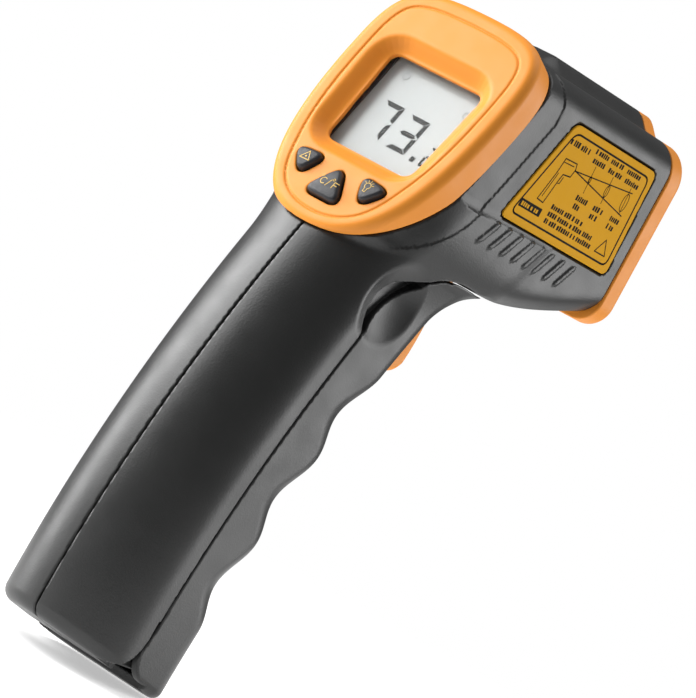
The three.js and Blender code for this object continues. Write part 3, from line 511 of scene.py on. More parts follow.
def label_corners(grow):
    return [
        (46 - grow, 118.6 - grow), (90.4 + grow, 118.6 - grow),
        (89.2 + grow, 142.5 + grow), (54.8 - grow, 142.5 + grow),
    ]


LABEL_X = HEAD_HALF - 0.5
label_recess = Outline(rounded(label_corners(0.3), 2.2))
screw_places = [
    (10.2, 10.4), (float(grip_back(81)) + 10.5, 81),
    (float(grip_back(95.4)) + 13.7, 95.4), (60, 142.5), (84, 113.2),
]
BOSS_RADIUS, POCKET_RADIUS, POCKET_FLOOR, SCREW_HOLE = 4.2, 3.05, -8.0, 1.55


def skin_field(x, y, z):
    f = body_field(x, y, z)
    f = f + COLLAR * collar_share(y, z) * smooth((z - 100) / 4)
    f = f - rib_bump(y, z) * (np.abs(x) > 15)
    f = less(f, scoop_field(x, y, z), 0.5)
    return both(f, foot_field(y, z), 2.6)


SHELVES, SHELF_HALF = (15.7, 75.7), 0.7
FOOT_CUT_Y, FOOT_CUT_Z, FOOT_CUT_RADIUS, FOOT_CUT_X = 16.5, 4.6, 7.5, 12.2


def housing_field(side):
    def field(x, y, z):
        outer = skin_field(x, y, z)
        inner = np.maximum(body_field(x, y, z), foot_field(y, z)) + WALL + wall_share(y, z)
        inner = np.maximum(inner, y - NOSE_SEAM - 5)
        shelf = np.minimum(np.abs(z - SHELVES[0]), np.abs(z - SHELVES[1])) - SHELF_HALF
        inner = np.maximum(inner, -shelf)
        for cy, cz in screw_places:
            inner = np.maximum(inner, BOSS_RADIUS - np.hypot(y - cy, z - cz))
        f = both(outer, -inner, 0.0)
        f = both(f, -seam(y, z), 0.35)
        f = both(f, y - NOSE_SEAM, 0.3)
        f = both(f, -door_hole(y, z), 0.3)
        corner_y, corner_z = y - FOOT_CUT_Y + FOOT_CUT_RADIUS, FOOT_CUT_Z + FOOT_CUT_RADIUS - z
        far = np.hypot(np.maximum(corner_y, 0), np.maximum(corner_z, 0)) - FOOT_CUT_RADIUS
        f = np.where(np.abs(x) > FOOT_CUT_X, np.maximum(f, np.where(z < 16, far, -9)), f)
        lug = np.minimum(
            rod_x(np.abs(x), y, z, HINGE_Y, HINGE_Z, 3.7, 11.2, 13.9),
            box_field(np.abs(x), y, z, (11.2, 9, 4.8), (13.9, HINGE_Y, HINGE_Z + 3.6)),
        )
        f = np.minimum(f, lug)
        f = np.maximum(f, -rod_x(np.abs(x), y, z, HINGE_Y, HINGE_Z, 1.95, 0, 40))
        f = np.maximum(f, -box_field(x, y, z, (-6.3, 46, 90), (6.3, 70, 106.5)))
        for cy, cz in screw_places:
            f = np.maximum(f, -rod_x(x, y, z, cy, cz, SCREW_HOLE, POCKET_FLOOR - 1, 9))
        if side > 0:
            pocket = np.maximum(label_recess(y, z), HEAD_HALF - 0.85 - x)
            f = less(f, pocket, 0.12)
        else:
            for cy, cz in screw_places:
                f = less(f, rod_x(x, y, z, cy, cz, POCKET_RADIUS, -40, POCKET_FLOOR), 0.3)
        return both(f, SPLIT - side * x, 0.28)
    return field


LEDGE_DEPTH = 3.3
TICKS, TICK_FIRST, TICK_PITCH, TICK_RADIUS = 4, 82.4, 4.1, 0.55  # grip marks beside the trigger


def door_field(x, y, z):
    grip = body_field(x, y, z)
    outer = both(np.maximum(grip, y - 62), foot_field(y, z), 2.2)
    outer = less(outer, scoop_field(x, y, z) + 0.15, 0.3)
    cut = pry_notch(y, z)
    outer = both(outer, np.minimum(-cut, grip + LEDGE_DEPTH), 0.3)
    inner = np.maximum(grip, foot_field(y, z)) + WALL + wall_share(y, z)
    f = both(outer, -inner, 0.0)
    f = both(f, door_form(y, z) + GAP, 0.35)
    ax = np.abs(x)
    f = less(f, box_field(x, y, z, (-SLOT_HALF, 20, 77.6), (SLOT_HALF, 90, 120), 0.8), 0.35)
    f = less(f, box_field(x, y, z, (-14.3, 0, -5), (14.3, HINGE_Y + 3.5, 14)), 0.3)
    along = (z - TICK_FIRST) / TICK_PITCH
    tick = np.abs(along - np.round(np.clip(along, 0, TICKS - 1))) * TICK_PITCH
    notch = np.hypot(tick, (ax - SLOT_HALF - 0.4)) - TICK_RADIUS
    f = np.where((z > 80) & (z < 97) & (y > grip_front(z) - 6), np.maximum(f, -notch), f)
    peg = rod_x(ax, y, z, HINGE_Y, HINGE_Z, 1.6, 11.6, 16)
    return np.minimum(f, peg)


# ---- Display surround ----
WINDOW = [(-11.6, -9.3), (11.6, -9.3), (12.5, 14), (-12.5, 14)]
FUNNEL_WIDTH, FUNNEL_DEPTH = 3.7, 2.7
window = Outline(rounded(WINDOW, 2.4))
funnel_rim = Outline(rounded([(p[0] * 1.08, 2.35 + (p[1] - 2.35) * 1.08) for p in WINDOW], 5.2))
KEYS = {
    "key_laser": [(-12.9, -14.9), (-8.3, -20.6), (-5.1, -14.1)],
    "key_unit": [(-4.9, -22.7), (4.9, -22.7), (0, -14.4)],
    "key_backlight": [(12.9, -14.9), (5.1, -14.1), (8.3, -20.6)],
}
key_outlines = {name: Outline(rounded(corners, 2.9), 0.1) for name, corners in KEYS.items()}
RIM, GROOVE_IN = 2.4, 4.1


def bezel_field(x, s, n):
    edge = shield(x, s)
    y, z = face_yz(s, n)
    inset = GROOVE_IN - 0.9 * smooth((-s - 12) / 12)
    groove = 0.4 * np.exp(-(((edge + inset) / 0.26) ** 2)) + 0.1 * smooth((-edge - inset) / 0.5)
    f = both(edge, groove - n, RIM)
    away = np.maximum(funnel_rim(x, s) - 0.6, -6)
    dish = FUNNEL_DEPTH * smooth((FUNNEL_WIDTH - 0.9 - away) / FUNNEL_WIDTH * 0.9)
    f = both(f, dish - n, 0.3)
    f = less(f, window(x, s), 0.25)
    for outline in key_outlines.values():
        hole = outline(x, s)
        f = less(f, hole - GAP, 0.35)
    f = less(f, np.maximum(edge + 2.2, PLATE - n), 0.0)
    return both(f, seam(y, z) + GAP, 0.4)


KEY_PROUD, KEY_CROWN = 1.2, 0.35


def key_top(name, x, s):
    """Height of a key's crowned top above the face."""
    centre = np.mean(KEYS[name], axis=0)
    return KEY_PROUD - KEY_CROWN * ((x - centre[0]) ** 2 + (s - centre[1]) ** 2) / 16


def key_field(name):
    def field(x, s, n):
        edge = key_outlines[name](x, s)
        cap = both(edge, -key_top(name, x, s) - n, 0.75)
        cap = np.maximum(cap, n - PLATE - 1)
        flange = np.maximum(edge - 0.45, np.maximum(PLATE + GAP - n, n - PLATE - 1))
        return np.minimum(cap, flange)
    return field


# ---- Nose and trigger ----
NOSE_DROP = 1.3


def nose_field(x, y, z):
    outline = head_field(x, np.minimum(y, NOSE_SEAM), z, NOSE_DROP)
    f = both(outline, y - LENGTH, 2.6)
    f = less(f, np.maximum(outline + 2, y - LENGTH + 2.8), 0.0)
    away = np.hypot(x, z - OPTICS_Z)
    cup = np.maximum(away - APERTURE - 1.8, np.maximum(NOSE_SEAM - y, y - LENGTH + 0.1))
    f = np.minimum(f, cup)
    bore = away - (APERTURE - 2.4 + 2.4 * smooth((y - NOSE_SEAM) / 5.6) + 0.8 * smooth((y - 99.4) / 1.4))
    f = less(f, bore, 0.3)
    f = less(f, np.hypot(x, z - LASER_Z) - LASER_BORE, 0.3)
    return both(f, NOSE_SEAM + GAP - y, 0.3)


TRIGGER_HALF = 5.7
trigger_outline = Outline(np.vstack([
    bezier([(52.6, 105), (51.4, 95), (52.4, 86)], 14),
    bezier([(52.4, 86), (53.2, 80.6), (57.2, 79.4)], 12),
    bezier([(57.2, 79.4), (61.6, 78.9), (63.6, 82.4)], 12),
    bezier([(63.6, 82.4), (64.4, 87), (64.2, 92)], 12),
    bezier([(64.2, 92), (64.4, 97), (66, 101.6)], 12),
    [(66, 101.6)],
    bezier([(65, 105), (62.5, 111.5), (PIN_Y, 111.5)], 12),
    bezier([(PIN_Y, 111.5), (54, 111.3), (52.6, 105)], 12),
]), 0.15)


def trigger_field(x, y, z):
    f = both(trigger_outline(y, z), np.abs(x) - TRIGGER_HALF, 1.6)
    return less(f, np.hypot(y - PIN_Y, z - PIN_Z) - 1.85, 0.2)


# ---- Materials ----
def linear(code):
    """A hex sRGB colour as linear numbers."""
    parts = [int(code[k:k + 2], 16) / 255 for k in (0, 2, 4)]
    return tuple(p / 12.92 if p <= 0.04045 else ((p + 0.055) / 1.055) ** 2.4 for p in parts)


def shifted(colour, share):
    return tuple(min(1, c * share) for c in colour) + (1,)


class Finish:
    """A node material on a Principled shader, with textures in the object's own metres."""

    def __init__(self, name, colour, roughness, metallic=0.0, **sockets):
        self.material = bpy.data.materials.new(name)
        self.material.use_nodes = True
        self.tree = self.material.node_tree
        self.shader = self.tree.nodes["Principled BSDF"]
        self.colour = colour
        self.set("Base Color", (*colour, 1))
        self.set("Roughness", roughness)
        self.set("Metallic", metallic)
        for key, value in sockets.items():
            self.set(key.replace("_", " "), value)
        self.coordinates = self.tree.nodes.new("ShaderNodeTexCoord")
        self.heights = []
        self.material.diffuse_color = (*colour, 1)

    def set(self, socket, value):
        self.shader.inputs[socket].default_value = value

    def link(self, source, target):
        self.tree.links.new(source, target)

    def noise(self, scale, detail=2.0, stretch=(1, 1, 1), roughness=0.5):
        mapping = self.tree.nodes.new("ShaderNodeMapping")
        mapping.inputs["Scale"].default_value = stretch
        self.link(self.coordinates.outputs["Object"], mapping.inputs["Vector"])
        node = self.tree.nodes.new("ShaderNodeTexNoise")
        node.inputs["Scale"].default_value = scale
        node.inputs["Detail"].default_value = detail
        node.inputs["Roughness"].default_value = roughness
        self.link(mapping.outputs["Vector"], node.inputs["Vector"])
        return node.outputs["Fac"]

    def range(self, source, low, high, start=0.3, end=0.7):
        node = self.tree.nodes.new("ShaderNodeMapRange")
        node.inputs["From Min"].default_value = start
        node.inputs["From Max"].default_value = end
        node.inputs["To Min"].default_value = low
        node.inputs["To Max"].default_value = high
        self.link(source, node.inputs["Value"])
        return node.outputs["Result"]

    def blend(self, factor, first, second):
        node = self.tree.nodes.new("ShaderNodeMix")
        node.data_type = "RGBA"
        self.link(factor, node.inputs["Factor"])
        for socket, value in ((node.inputs[6], first), (node.inputs[7], second)):
            if isinstance(value, bpy.types.NodeSocket):
                self.link(value, socket)
            else:
                socket.default_value = value
        return node.outputs[2]

    def mottle(self, scale, share):
        """Uneven colour, by a share each way."""
        dark, pale = shifted(self.colour, 1 - share), shifted(self.colour, 1 + share)
        mixed = self.blend(self.noise(scale, 3), dark, pale)
        self.link(mixed, self.shader.inputs["Base Color"])
        return self

    def polish(self, scale, low, high):
        self.link(self.range(self.noise(scale, 3), low, high), self.shader.inputs["Roughness"])
        return self

    def grain(self, scale, distance, strength=0.5, stretch=(1, 1, 1), detail=2.0):
        node = self.tree.nodes.new("ShaderNodeBump")
        node.inputs["Strength"].default_value = strength
        node.inputs["Distance"].default_value = distance
        self.link(self.noise(scale, detail, stretch), node.inputs["Height"])
        if self.heights:
            self.link(self.heights[-1], node.inputs["Normal"])
        self.heights.append(node.outputs["Normal"])
        self.link(node.outputs["Normal"], self.shader.inputs["Normal"])
        return self


GREY = (0.024, 0.0245, 0.0242)
ORANGE = (0.98, 0.345, 0.042)
grey_plastic = Finish("grey_plastic", GREY, 0.38, Specular_IOR_Level=0.5)
grey_plastic.mottle(45, 0.05).polish(160, 0.33, 0.4).grain(2600, 0.00004, 0.7).grain(700, 0.00002, 0.25)
orange_plastic = Finish("orange_plastic", ORANGE, 0.48, Specular_IOR_Level=0.3)
orange_plastic.mottle(50, 0.025).polish(180, 0.4, 0.5).grain(3200, 0.00002, 0.35)
key_plastic = Finish("key_plastic", (0.022, 0.023, 0.028), 0.5)
key_plastic.mottle(300, 0.12).polish(500, 0.44, 0.58).grain(3800, 0.00005, 0.7)


# ---- Shells ----
COARSE = 0.5
FINE = 0.32

grey, orange = grey_plastic.material, orange_plastic.material
right = form("housing_right_skin", housing_field(1), (-1, -3, -2), (22.5, 97, 155), COARSE, grey)
place(right, "root", "grey_plastic", "housing_right")
left = form("housing_left_skin", housing_field(-1), (-22.5, -3, -2), (1, 97, 155), COARSE, grey)
place(left, "root", "grey_plastic", "housing_left")
door = form("battery_door_skin", door_field, (-20, 14, -2), (20, 68, 105), COARSE * 0.9, grey)
place(door, "door", "grey_plastic", "battery_door")
bezel = form(
    "display_bezel_skin", bezel_field, (-22.5, -30, -1), (22.5, 31, 24), FINE, orange,
    FACE_BASIS, FACE_ANCHOR,
)
place(bezel, "root", "orange_plastic", "display_bezel")
nose = form("nose_ring_skin", nose_field, (-22.5, 93, 104), (22.5, 102, 155), FINE, orange)
place(nose, "root", "orange_plastic", "front_bezel")
trigger = form("trigger_skin", trigger_field, (-7, 50, 77), (7, 68, 113), FINE, orange)
place(trigger, "trigger", "orange_plastic", "trigger")
for key in KEYS:
    cx, cs = np.mean(KEYS[key], axis=0)
    low, high = (cx - 7, cs - 6, -2.5), (cx + 7, cs + 7, 6)
    cap = form(key + "_cap", key_field(key), low, high, 0.22, key_plastic.material, FACE_BASIS, FACE_ANCHOR)
    place(cap, key, "key_plastic", key)


# ---- Flat marks: thin closed plates on a surface ----
def plates(name, outlines, mapper, material, thick=0.03):
    """Thin prisms over outlines of (u, v) points; mapper turns (u, v, height) into design points."""
    points, faces = [], []
    for outline in outlines:
        outline = np.asarray(outline, float)
        base, count = len(points), len(outline)
        for height in (0.0, thick):
            points.extend(mapper(outline[:, 0], outline[:, 1], height))
        faces.append([base + count + k for k in range(count)])
        faces.append([base + k for k in reversed(range(count))])
        for k in range(count):
            after = (k + 1) % count
            faces.append([base + k, base + after, base + count + after, base + count + k])
    return new_object(name, frame_points(np.array(points)), faces, material, False)


def stroke(path, width, closed=False):
    """Quads along a line, one outline for each step, overlapping at the joints."""
    path = np.asarray(path, float)
    ends = np.roll(path, -1, axis=0) if closed else path[1:]
    starts = path if closed else path[:-1]
    out = []
    for a, b in zip(starts, ends):
        along = (b - a) / max(np.linalg.norm(b - a), 1e-9)
        side = np.array([-along[1], along[0]]) * width / 2
        reach = along * width * 0.28
        out.append([a - reach + side, a - reach - side, b + reach - side, b + reach + side])
    return out


def ring(centre, radii, count=24):
    turns = np.linspace(0, 2 * np.pi, count, endpoint=False)
    return np.stack([centre[0] + radii[0] * np.cos(turns), centre[1] + radii[1] * np.sin(turns)], 1)


def bar(u0, v0, u1, v1):
    return [(u0, v0), (u1, v0), (u1, v1), (u0, v1)]


def ink(name, colour, roughness=0.5, specular=0.5):
    finish = Finish(name, colour, roughness, Specular_IOR_Level=specular)
    finish.mottle(900, 0.06).polish(700, roughness - 0.05, roughness + 0.08)
    return finish.material


# ---- Side label: a plate with a printed border and plain marks ----
label_paper = Finish("label_paper", (0.8, 0.4, 0.02), 0.7, Specular_IOR_Level=0.08)
label_paper.mottle(60, 0.03).polish(300, 0.64, 0.76).grain(2600, 0.00001, 0.3)
LABEL_THICK, LABEL_ROUND = 0.5, 2.0
BORDER_IN, BORDER_WIDTH = 1.75, 0.42


def on_side(y, z, height):
    return [(LABEL_X + LABEL_THICK + height, a, b) for a, b in zip(y, z)]


label_outline = Outline(rounded(label_corners(0), LABEL_ROUND), 0.1)


def label_field(x, y, z):
    return both(label_outline(y, z), np.abs(x - LABEL_X - LABEL_THICK / 2) - LABEL_THICK / 2, 0.12)


label = form("label_plate", label_field, (20, 44, 117), (21.4, 92, 144), 0.2, label_paper.material)
place(label, "root", "label", "label_right")
border = rounded([
    (46 + BORDER_IN + 0.7, 118.6 + BORDER_IN), (90.4 - BORDER_IN, 118.6 + BORDER_IN),
    (89.2 - BORDER_IN, 142.5 - BORDER_IN), (54.8 + BORDER_IN - 0.6, 142.5 - BORDER_IN),
], 1.9, 6)
meter_back = [
    (54.6, 125.3), (56.4, 131.9), (56.9, 135.2), (61.4, 135.4), (61.9, 134.2), (61.4, 132.4), (58.7, 132.1),
]
meter_grip = [(58.7, 132.1), (58.2, 130.4), (57.1, 125.1), (54.6, 125.3)]
CONE = (62.1, 134.0)
marks = stroke(border, BORDER_WIDTH, True)
marks += stroke(meter_back, 0.26) + stroke(meter_grip, 0.26)
marks += stroke([(57.1, 134.4), (60.9, 134.6)], 0.2) + stroke([(57.0, 131.9), (55.7, 126.2)], 0.2)
marks += stroke([(59.3, 131.6), (59.0, 130.2), (58.5, 130.0)], 0.22)
marks += stroke([CONE, (84.6, 136.2)], 0.24) + stroke([CONE, (85.0, 131.0)], 0.24)
for spot_y, spot_z, half in ((68.2, 134.0, 0.75), (75.7, 133.8, 1.35), (83.6, 133.7, 2.0)):
    marks += stroke(ring((spot_y, spot_z), (half * 0.5, half), 20), 0.18, True)
    marks += stroke([(spot_y - 0.3, 137.0), (spot_y + 0.2, 131.0)], 0.14)
marks += [bar(49.7, 122.1, 58.2, 123.9)]
marks += stroke([(84.4, 125.2), (86.6, 122.0), (82.3, 122.0)], 0.26, True)


def word_row(start, end, v, height, seed):
    """A row of short upright dashes, standing for small print without being any writing."""
    pick = np.random.default_rng(seed)
    out, u = [], start
    while u < end - 0.5:
        wide = 0.42 + 0.3 * pick.random()
        tall = height * (0.78 + 0.22 * pick.random())
        out.append(bar(u, v, min(u + wide, end), v + tall))
        u += wide + 0.26 + (0.5 if pick.random() < 0.2 else 0)
    return out


PRINT_ROWS = [
    (55.6, 63.8, 138.2, 1.3), (65.4, 70.8, 139.2, 1.1), (72.0, 77.6, 139.2, 1.1), (79.0, 85.4, 139.2, 1.1),
    (65.9, 71.2, 137.3, 1.1), (72.6, 78.0, 137.3, 1.1), (79.8, 86.0, 137.3, 1.1),
    (66.9, 71.8, 129.0, 1.2), (67.4, 70.2, 127.2, 1.2), (74.2, 78.2, 129.0, 1.2), (74.4, 77.2, 127.2, 1.2),
    (81.6, 86.2, 129.0, 1.2), (81.8, 84.8, 127.2, 1.2),
    (60.6, 73.6, 124.9, 1.1), (60.6, 79.6, 123.3, 1.1), (60.6, 80.4, 121.7, 1.1),
]
for number, (start, end, v, height) in enumerate(PRINT_ROWS):
    marks += word_row(start, end, v, height, number)
label_ink = ink("label_ink", (0.02, 0.019, 0.017), 0.7, 0.05)
place(plates("label_marks", marks, on_side, label_ink), "root", "label")
box_marks = word_row(50.4, 57.6, 122.5, 1.0, 40)
place(plates("label_box_marks", box_marks, on_side, label_paper.material, 0.05), "root", "label")


# ---- Display: digits and faint marks on the liquid-crystal cell ----
def on_face(depth):
    def mapper(x, s, height):
        return [(a, *face_yz(b, depth - height)) for a, b in zip(x, s)]
    return mapper


LCD_DEPTH, SEGMENT = 5.6, 1.15
SEGMENTS = {
    "a": lambda w, h, t: [(0, h), (w, h), (w - t, h - t), (t, h - t)],
    "b": lambda w, h, t: [(w, h), (w, h / 2), (w - t, h / 2 + t / 2), (w - t, h - t)],
    "c": lambda w, h, t: [(w, 0), (w, h / 2), (w - t, h / 2 - t / 2), (w - t, t)],
    "d": lambda w, h, t: [(0, 0), (t, t), (w - t, t), (w, 0)],
    "e": lambda w, h, t: [(0, 0), (t, t), (t, h / 2 - t / 2), (0, h / 2)],
    "f": lambda w, h, t: [(0, h / 2), (t, h / 2 + t / 2), (t, h - t), (0, h)],
    "g": lambda w, h, t: [
        (t * 0.4, h / 2), (t, h / 2 + t / 2), (w - t, h / 2 + t / 2), (w - t * 0.4, h / 2),
        (w - t, h / 2 - t / 2), (t, h / 2 - t / 2),
    ],
}


def digit(lit, corner, width, height, thick):
    out = []
    for name in lit:
        outline = np.array(SEGMENTS[name](width, height, thick))
        middle = outline.mean(0)
        out.append(middle + (outline - middle) * 0.94 + corner)
    return out


lcd_ink = ink("lcd_ink", (0.02, 0.024, 0.023), 0.7, 0.05)
lcd_ghost = ink("lcd_ghost", (0.4, 0.44, 0.45), 0.7, 0.05)
digits = digit("abc", (-8.05, -3.9), 5.25, 9.1, SEGMENT) + digit("abcdg", (-0.7, -4.1), 5.3, 8.9, SEGMENT)
digits += [bar(6.3, -4.5, 7.45, -3.3)] + digit("abged", (8.75, -4.55), 3.1, 5.0, 0.62)
place(plates("lcd_digits", digits, on_face(LCD_DEPTH - 0.02), lcd_ink), "root", "lcd")
ghosts = stroke(rounded([(9.3, 9.2), (11.4, 9.2), (11.4, 10.4), (9.3, 10.4)], 0.3, 3), 0.2, True)
ghosts += stroke(ring((-8.3, 11.6), (0.8, 0.8), 16), 0.22, True) + [bar(-9.1, 12.9, -7.4, 13.3)]
ghosts += [bar(10.2, 6.6, 11.2, 6.9), bar(10.2, 6.0, 11.2, 6.3)]
place(plates("lcd_ghost_marks", ghosts, on_face(LCD_DEPTH - 0.02), lcd_ghost), "root", "lcd")


# ---- Key icons ----
ICON_LIFT = 0.02


def on_key(name):
    def mapper(x, s, height):
        return [(a, *face_yz(b, -key_top(name, a, b) - ICON_LIFT - height)) for a, b in zip(x, s)]
    return mapper


def letter_c(u, v, size):
    return stroke(arc((u, v), size, 50, 310, 12), 0.22)


def icon_marks():
    lines = {name: [] for name in KEYS}
    lines["key_laser"] += stroke([(-10.3, -17.6), (-7.5, -17.5), (-8.8, -15.2)], 0.24, True)
    lines["key_laser"] += [ring((-8.85, -16.8), (0.28, 0.28), 10)]
    lines["key_unit"] += stroke(ring((-2.5, -18.3), (0.3, 0.3), 10), 0.16, True) + letter_c(-1.4, -19.6, 0.85)
    lines["key_unit"] += stroke([(-0.2, -20.6), (0.5, -18.5)], 0.22)
    lines["key_unit"] += stroke(ring((1.0, -18.3), (0.3, 0.3), 10), 0.16, True)
    lines["key_unit"] += stroke([(1.7, -20.5), (1.7, -18.8), (3.0, -18.8)], 0.22)
    lines["key_unit"] += stroke([(1.7, -19.6), (2.7, -19.6)], 0.22)
    lines["key_backlight"] += stroke(arc((8.3, -16.2), 0.85, -60, 240, 14), 0.2)
    lines["key_backlight"] += stroke([(7.9, -16.9), (7.95, -17.9), (8.65, -17.9), (8.7, -16.9)], 0.2)
    for turn in range(20, 170, 32):
        away = np.array([math.cos(math.radians(turn)), math.sin(math.radians(turn))])
        middle = np.array([8.3, -16.2])
        lines["key_backlight"] += stroke([middle + away * 1.15, middle + away * 1.6], 0.17)
    return lines


icon_gold = ink("icon_gold", linear("d8ae3c"), 0.4)
ICON_SCALE, ICON_SHIFT = 0.84, {"key_laser": (0.3, 0.1), "key_unit": (0.25, 0.0), "key_backlight": (0.0, 0.0)}
for key, lines in icon_marks().items():
    middle = np.vstack(lines).mean(0)
    lines = [middle + (np.asarray(line) - middle) * ICON_SCALE + ICON_SHIFT[key] for line in lines]
    place(plates(key + "_icon", lines, on_key(key), icon_gold), key, "key_plastic")


# ---- Finishes of the CAD pieces that stay as they are ----
def board_green():
    """Solder-masked board: a faint weave, with darker runs of track."""
    finish = Finish("board_green", (0.012, 0.11, 0.04), 0.32)
    tracks = finish.range(finish.noise(420, 1, (1, 0.25, 0.25)), 0, 1, 0.48, 0.52)
    mixed = finish.blend(tracks, (0.012, 0.11, 0.04, 1), (0.02, 0.17, 0.065, 1))
    finish.link(mixed, finish.shader.inputs["Base Color"])
    return finish.polish(300, 0.26, 0.4).grain(2400, 0.00001, 0.3)


def brushed(name, colour):
    finish = Finish(name, colour, 0.28, 1.0)
    return finish.mottle(500, 0.06).polish(900, 0.2, 0.38).grain(1800, 0.000008, 0.4, (1, 8, 8))


def moulded(name, colour, roughness=0.5, scale=2200):
    finish = Finish(name, colour, roughness)
    return finish.mottle(200, 0.08).polish(500, roughness - 0.07, roughness + 0.08).grain(scale, 0.00002, 0.4)


def clear_plate():
    finish = Finish("clear_plate", (0.92, 0.95, 0.95), 0.04, IOR=1.49, Alpha=0.04)
    return finish.polish(120, 0.03, 0.06)


def lcd_cell():
    """Pale reflective liquid-crystal cell, a little uneven."""
    finish = Finish("lcd_cell", (0.5, 0.545, 0.545), 0.3, Specular_IOR_Level=0.3)
    return finish.mottle(60, 0.015).polish(150, 0.18, 0.28)


def battery_wrap():
    """Printed steel jacket: a dark body with a copper-coloured band at the top."""
    finish = Finish("battery_wrap", (0.03, 0.03, 0.033), 0.3, 0.3)
    parts = finish.tree.nodes.new("ShaderNodeSeparateXYZ")
    finish.link(finish.coordinates.outputs["Generated"], parts.inputs["Vector"])
    band = finish.range(parts.outputs["Z"], 0, 1, 0.66, 0.67)
    mixed = finish.blend(band, (0.03, 0.03, 0.033, 1), (0.42, 0.15, 0.05, 1))
    finish.link(mixed, finish.shader.inputs["Base Color"])
    return finish.polish(200, 0.24, 0.38).grain(900, 0.00001, 0.3)


black_part = moulded("black_part", (0.014, 0.014, 0.015), 0.45)
steel_part = brushed("steel_part", (0.56, 0.57, 0.58))
green_board = board_green()
CAD_FINISHES = [
    (clear_plate(), ["display_window"]),
    (lcd_cell(), ["lcd_glass"]),
    (moulded("white_plate", (0.8, 0.8, 0.77), 0.4), ["backlight_plate"]),
    (moulded("pink_rubber", (0.62, 0.26, 0.31), 0.7), ["zebra_strip"]),
    (green_board, ["main_board", "sensor_board", "trigger_board"]),
    (moulded("chip_epoxy", (0.01, 0.01, 0.011), 0.38, 1500), ["mcu_chip"]),
    (black_part, [
        "lcd_frame", "buzzer", "sensor_tube", "lens_ring", "trigger_switch", "battery_snap",
        "battery_lead_black", "key_switch_1", "key_switch_2", "key_switch_3",
    ]),
    (steel_part, ["thermopile", "trigger_pin", "trigger_spring"]),
    (steel_part, [f"board_screw_{k}" for k in range(1, 5)] + [f"case_screw_{k}" for k in range(1, 6)]),
    (brushed("brass_part", (0.62, 0.4, 0.12)), ["laser_module"]),
    (moulded("red_glass", (0.5, 0.03, 0.02), 0.15), ["laser_lens"]),
    (moulded("fresnel_plastic", (0.55, 0.53, 0.47), 0.22, 700), ["ir_lens"]),
    (battery_wrap(), ["battery_9v"]),
    (moulded("red_wire", (0.45, 0.012, 0.01), 0.4), ["battery_lead_red"]),
]
for finish, names in CAD_FINISHES:
    for name in names:
        materials = frame["nodes"][name].data.materials
        materials.clear()
        materials.append(finish.material)


# ---- Camera ----
def camera_axes(azimuth, elevation, roll):
    a, e, r = (math.radians(v) for v in (azimuth, elevation, roll))
    across = Vector((math.cos(a), math.sin(a), 0))
    up = Vector((-math.sin(a) * math.sin(e), math.cos(a) * math.sin(e), math.cos(e)))
    back = across.cross(up)
    return across * math.cos(r) + up * math.sin(r), -across * math.sin(r) + up * math.cos(r), back


CAMERA_DISTANCE, LENS, SENSOR = 0.9, 226.9, 36.0
CAMERA_TARGET = (0.0, 51.288, 79.991)
cam_right, cam_up, cam_back = camera_axes(35.51, 1.309, 28.571)
camera_data = bpy.data.cameras.new("camera")
camera_data.lens = LENS
camera_data.sensor_width = SENSOR
camera = bpy.data.objects.new("camera", camera_data)
bpy.context.scene.collection.objects.link(camera)
target = Vector(frame_points(np.array([CAMERA_TARGET]))[0])
turn = Matrix((cam_right, cam_up, cam_back)).transposed().to_4x4()
camera.matrix_world = Matrix.Translation(target + cam_back * CAMERA_DISTANCE) @ turn
bpy.context.scene.camera = camera
bpy.context.scene.view_settings.view_transform = "Standard"


# ---- Studio ----
def softbox(name, direction, distance, size, power, colour=(1, 1, 1)):
    data = bpy.data.lights.new(name, "AREA")
    data.shape = "RECTANGLE"
    data.size, data.size_y = size
    data.energy = power
    data.color = colour
    lamp = bpy.data.objects.new(name, data)
    bpy.context.scene.collection.objects.link(lamp)
    away = Vector(direction).normalized()
    facing = away.to_track_quat("Z", "Y").to_matrix().to_4x4()
    lamp.matrix_world = Matrix.Translation(target + away * distance) @ facing
    return lamp


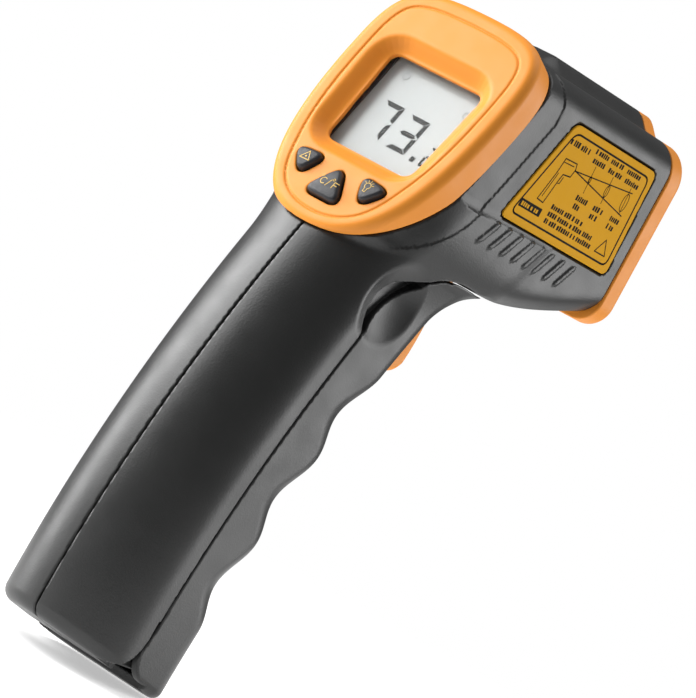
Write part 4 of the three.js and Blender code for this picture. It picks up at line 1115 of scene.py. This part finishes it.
softbox("key_light", (-0.7, -0.62, 0.5), 0.8, (0.5, 0.5), 6.6)
softbox("left_light", (-0.95, -0.3, 0.22), 0.8, (0.3, 0.56), 4.6)
softbox("side_light", (0.6, 0.8, 0.2), 0.85, (0.45, 0.6), 3.6)
softbox("top_light", (0.15, 0.2, 1), 0.8, (0.7, 0.7), 2.4)


def studio_world():
    """White to the eye, and a dimmer soft light for the object."""
    studio = bpy.data.worlds.new("studio")
    studio.use_nodes = True
    nodes, links = studio.node_tree.nodes, studio.node_tree.links
    lit = nodes["Background"]
    lit.inputs["Color"].default_value = (1, 1, 1, 1)
    lit.inputs["Strength"].default_value = 0.14
    seen = nodes.new("ShaderNodeBackground")
    seen.inputs["Color"].default_value = (1, 1, 1, 1)
    seen.inputs["Strength"].default_value = 1.0
    path = nodes.new("ShaderNodeLightPath")
    mix = nodes.new("ShaderNodeMixShader")
    links.new(path.outputs["Is Camera Ray"], mix.inputs[0])
    links.new(lit.outputs[0], mix.inputs[1])
    links.new(seen.outputs[0], mix.inputs[2])
    links.new(mix.outputs[0], nodes["World Output"].inputs["Surface"])
    return studio


bpy.context.scene.world = studio_world()


def floor_paint():
    """Pale paint that fades away far from the object, so that no horizon shows."""
    glow = {"Emission_Color": (1, 1, 1, 1), "Emission_Strength": 0.45}
    finish = Finish("floor_paint", (0.86, 0.86, 0.86), 0.85, **glow)
    finish.mottle(6, 0.01)
    tree = finish.tree
    length = tree.nodes.new("ShaderNodeVectorMath")
    length.operation = "LENGTH"
    finish.link(finish.coordinates.outputs["Object"], length.inputs[0])
    fade = finish.range(length.outputs["Value"], 1, 0, 0.1, 0.5)
    fade.node.interpolation_type = "SMOOTHSTEP"
    finish.link(fade, finish.shader.inputs["Alpha"])
    return finish.material


FLOOR_HALF = 2.0
floor_z = cad_box[0][2]
floor = new_object(
    "floor",
    [(-FLOOR_HALF, -FLOOR_HALF, floor_z), (FLOOR_HALF, -FLOOR_HALF, floor_z),
     (FLOOR_HALF, FLOOR_HALF, floor_z), (-FLOOR_HALF, FLOOR_HALF, floor_z)],
    [(0, 1, 2, 3)], floor_paint(), False,
)
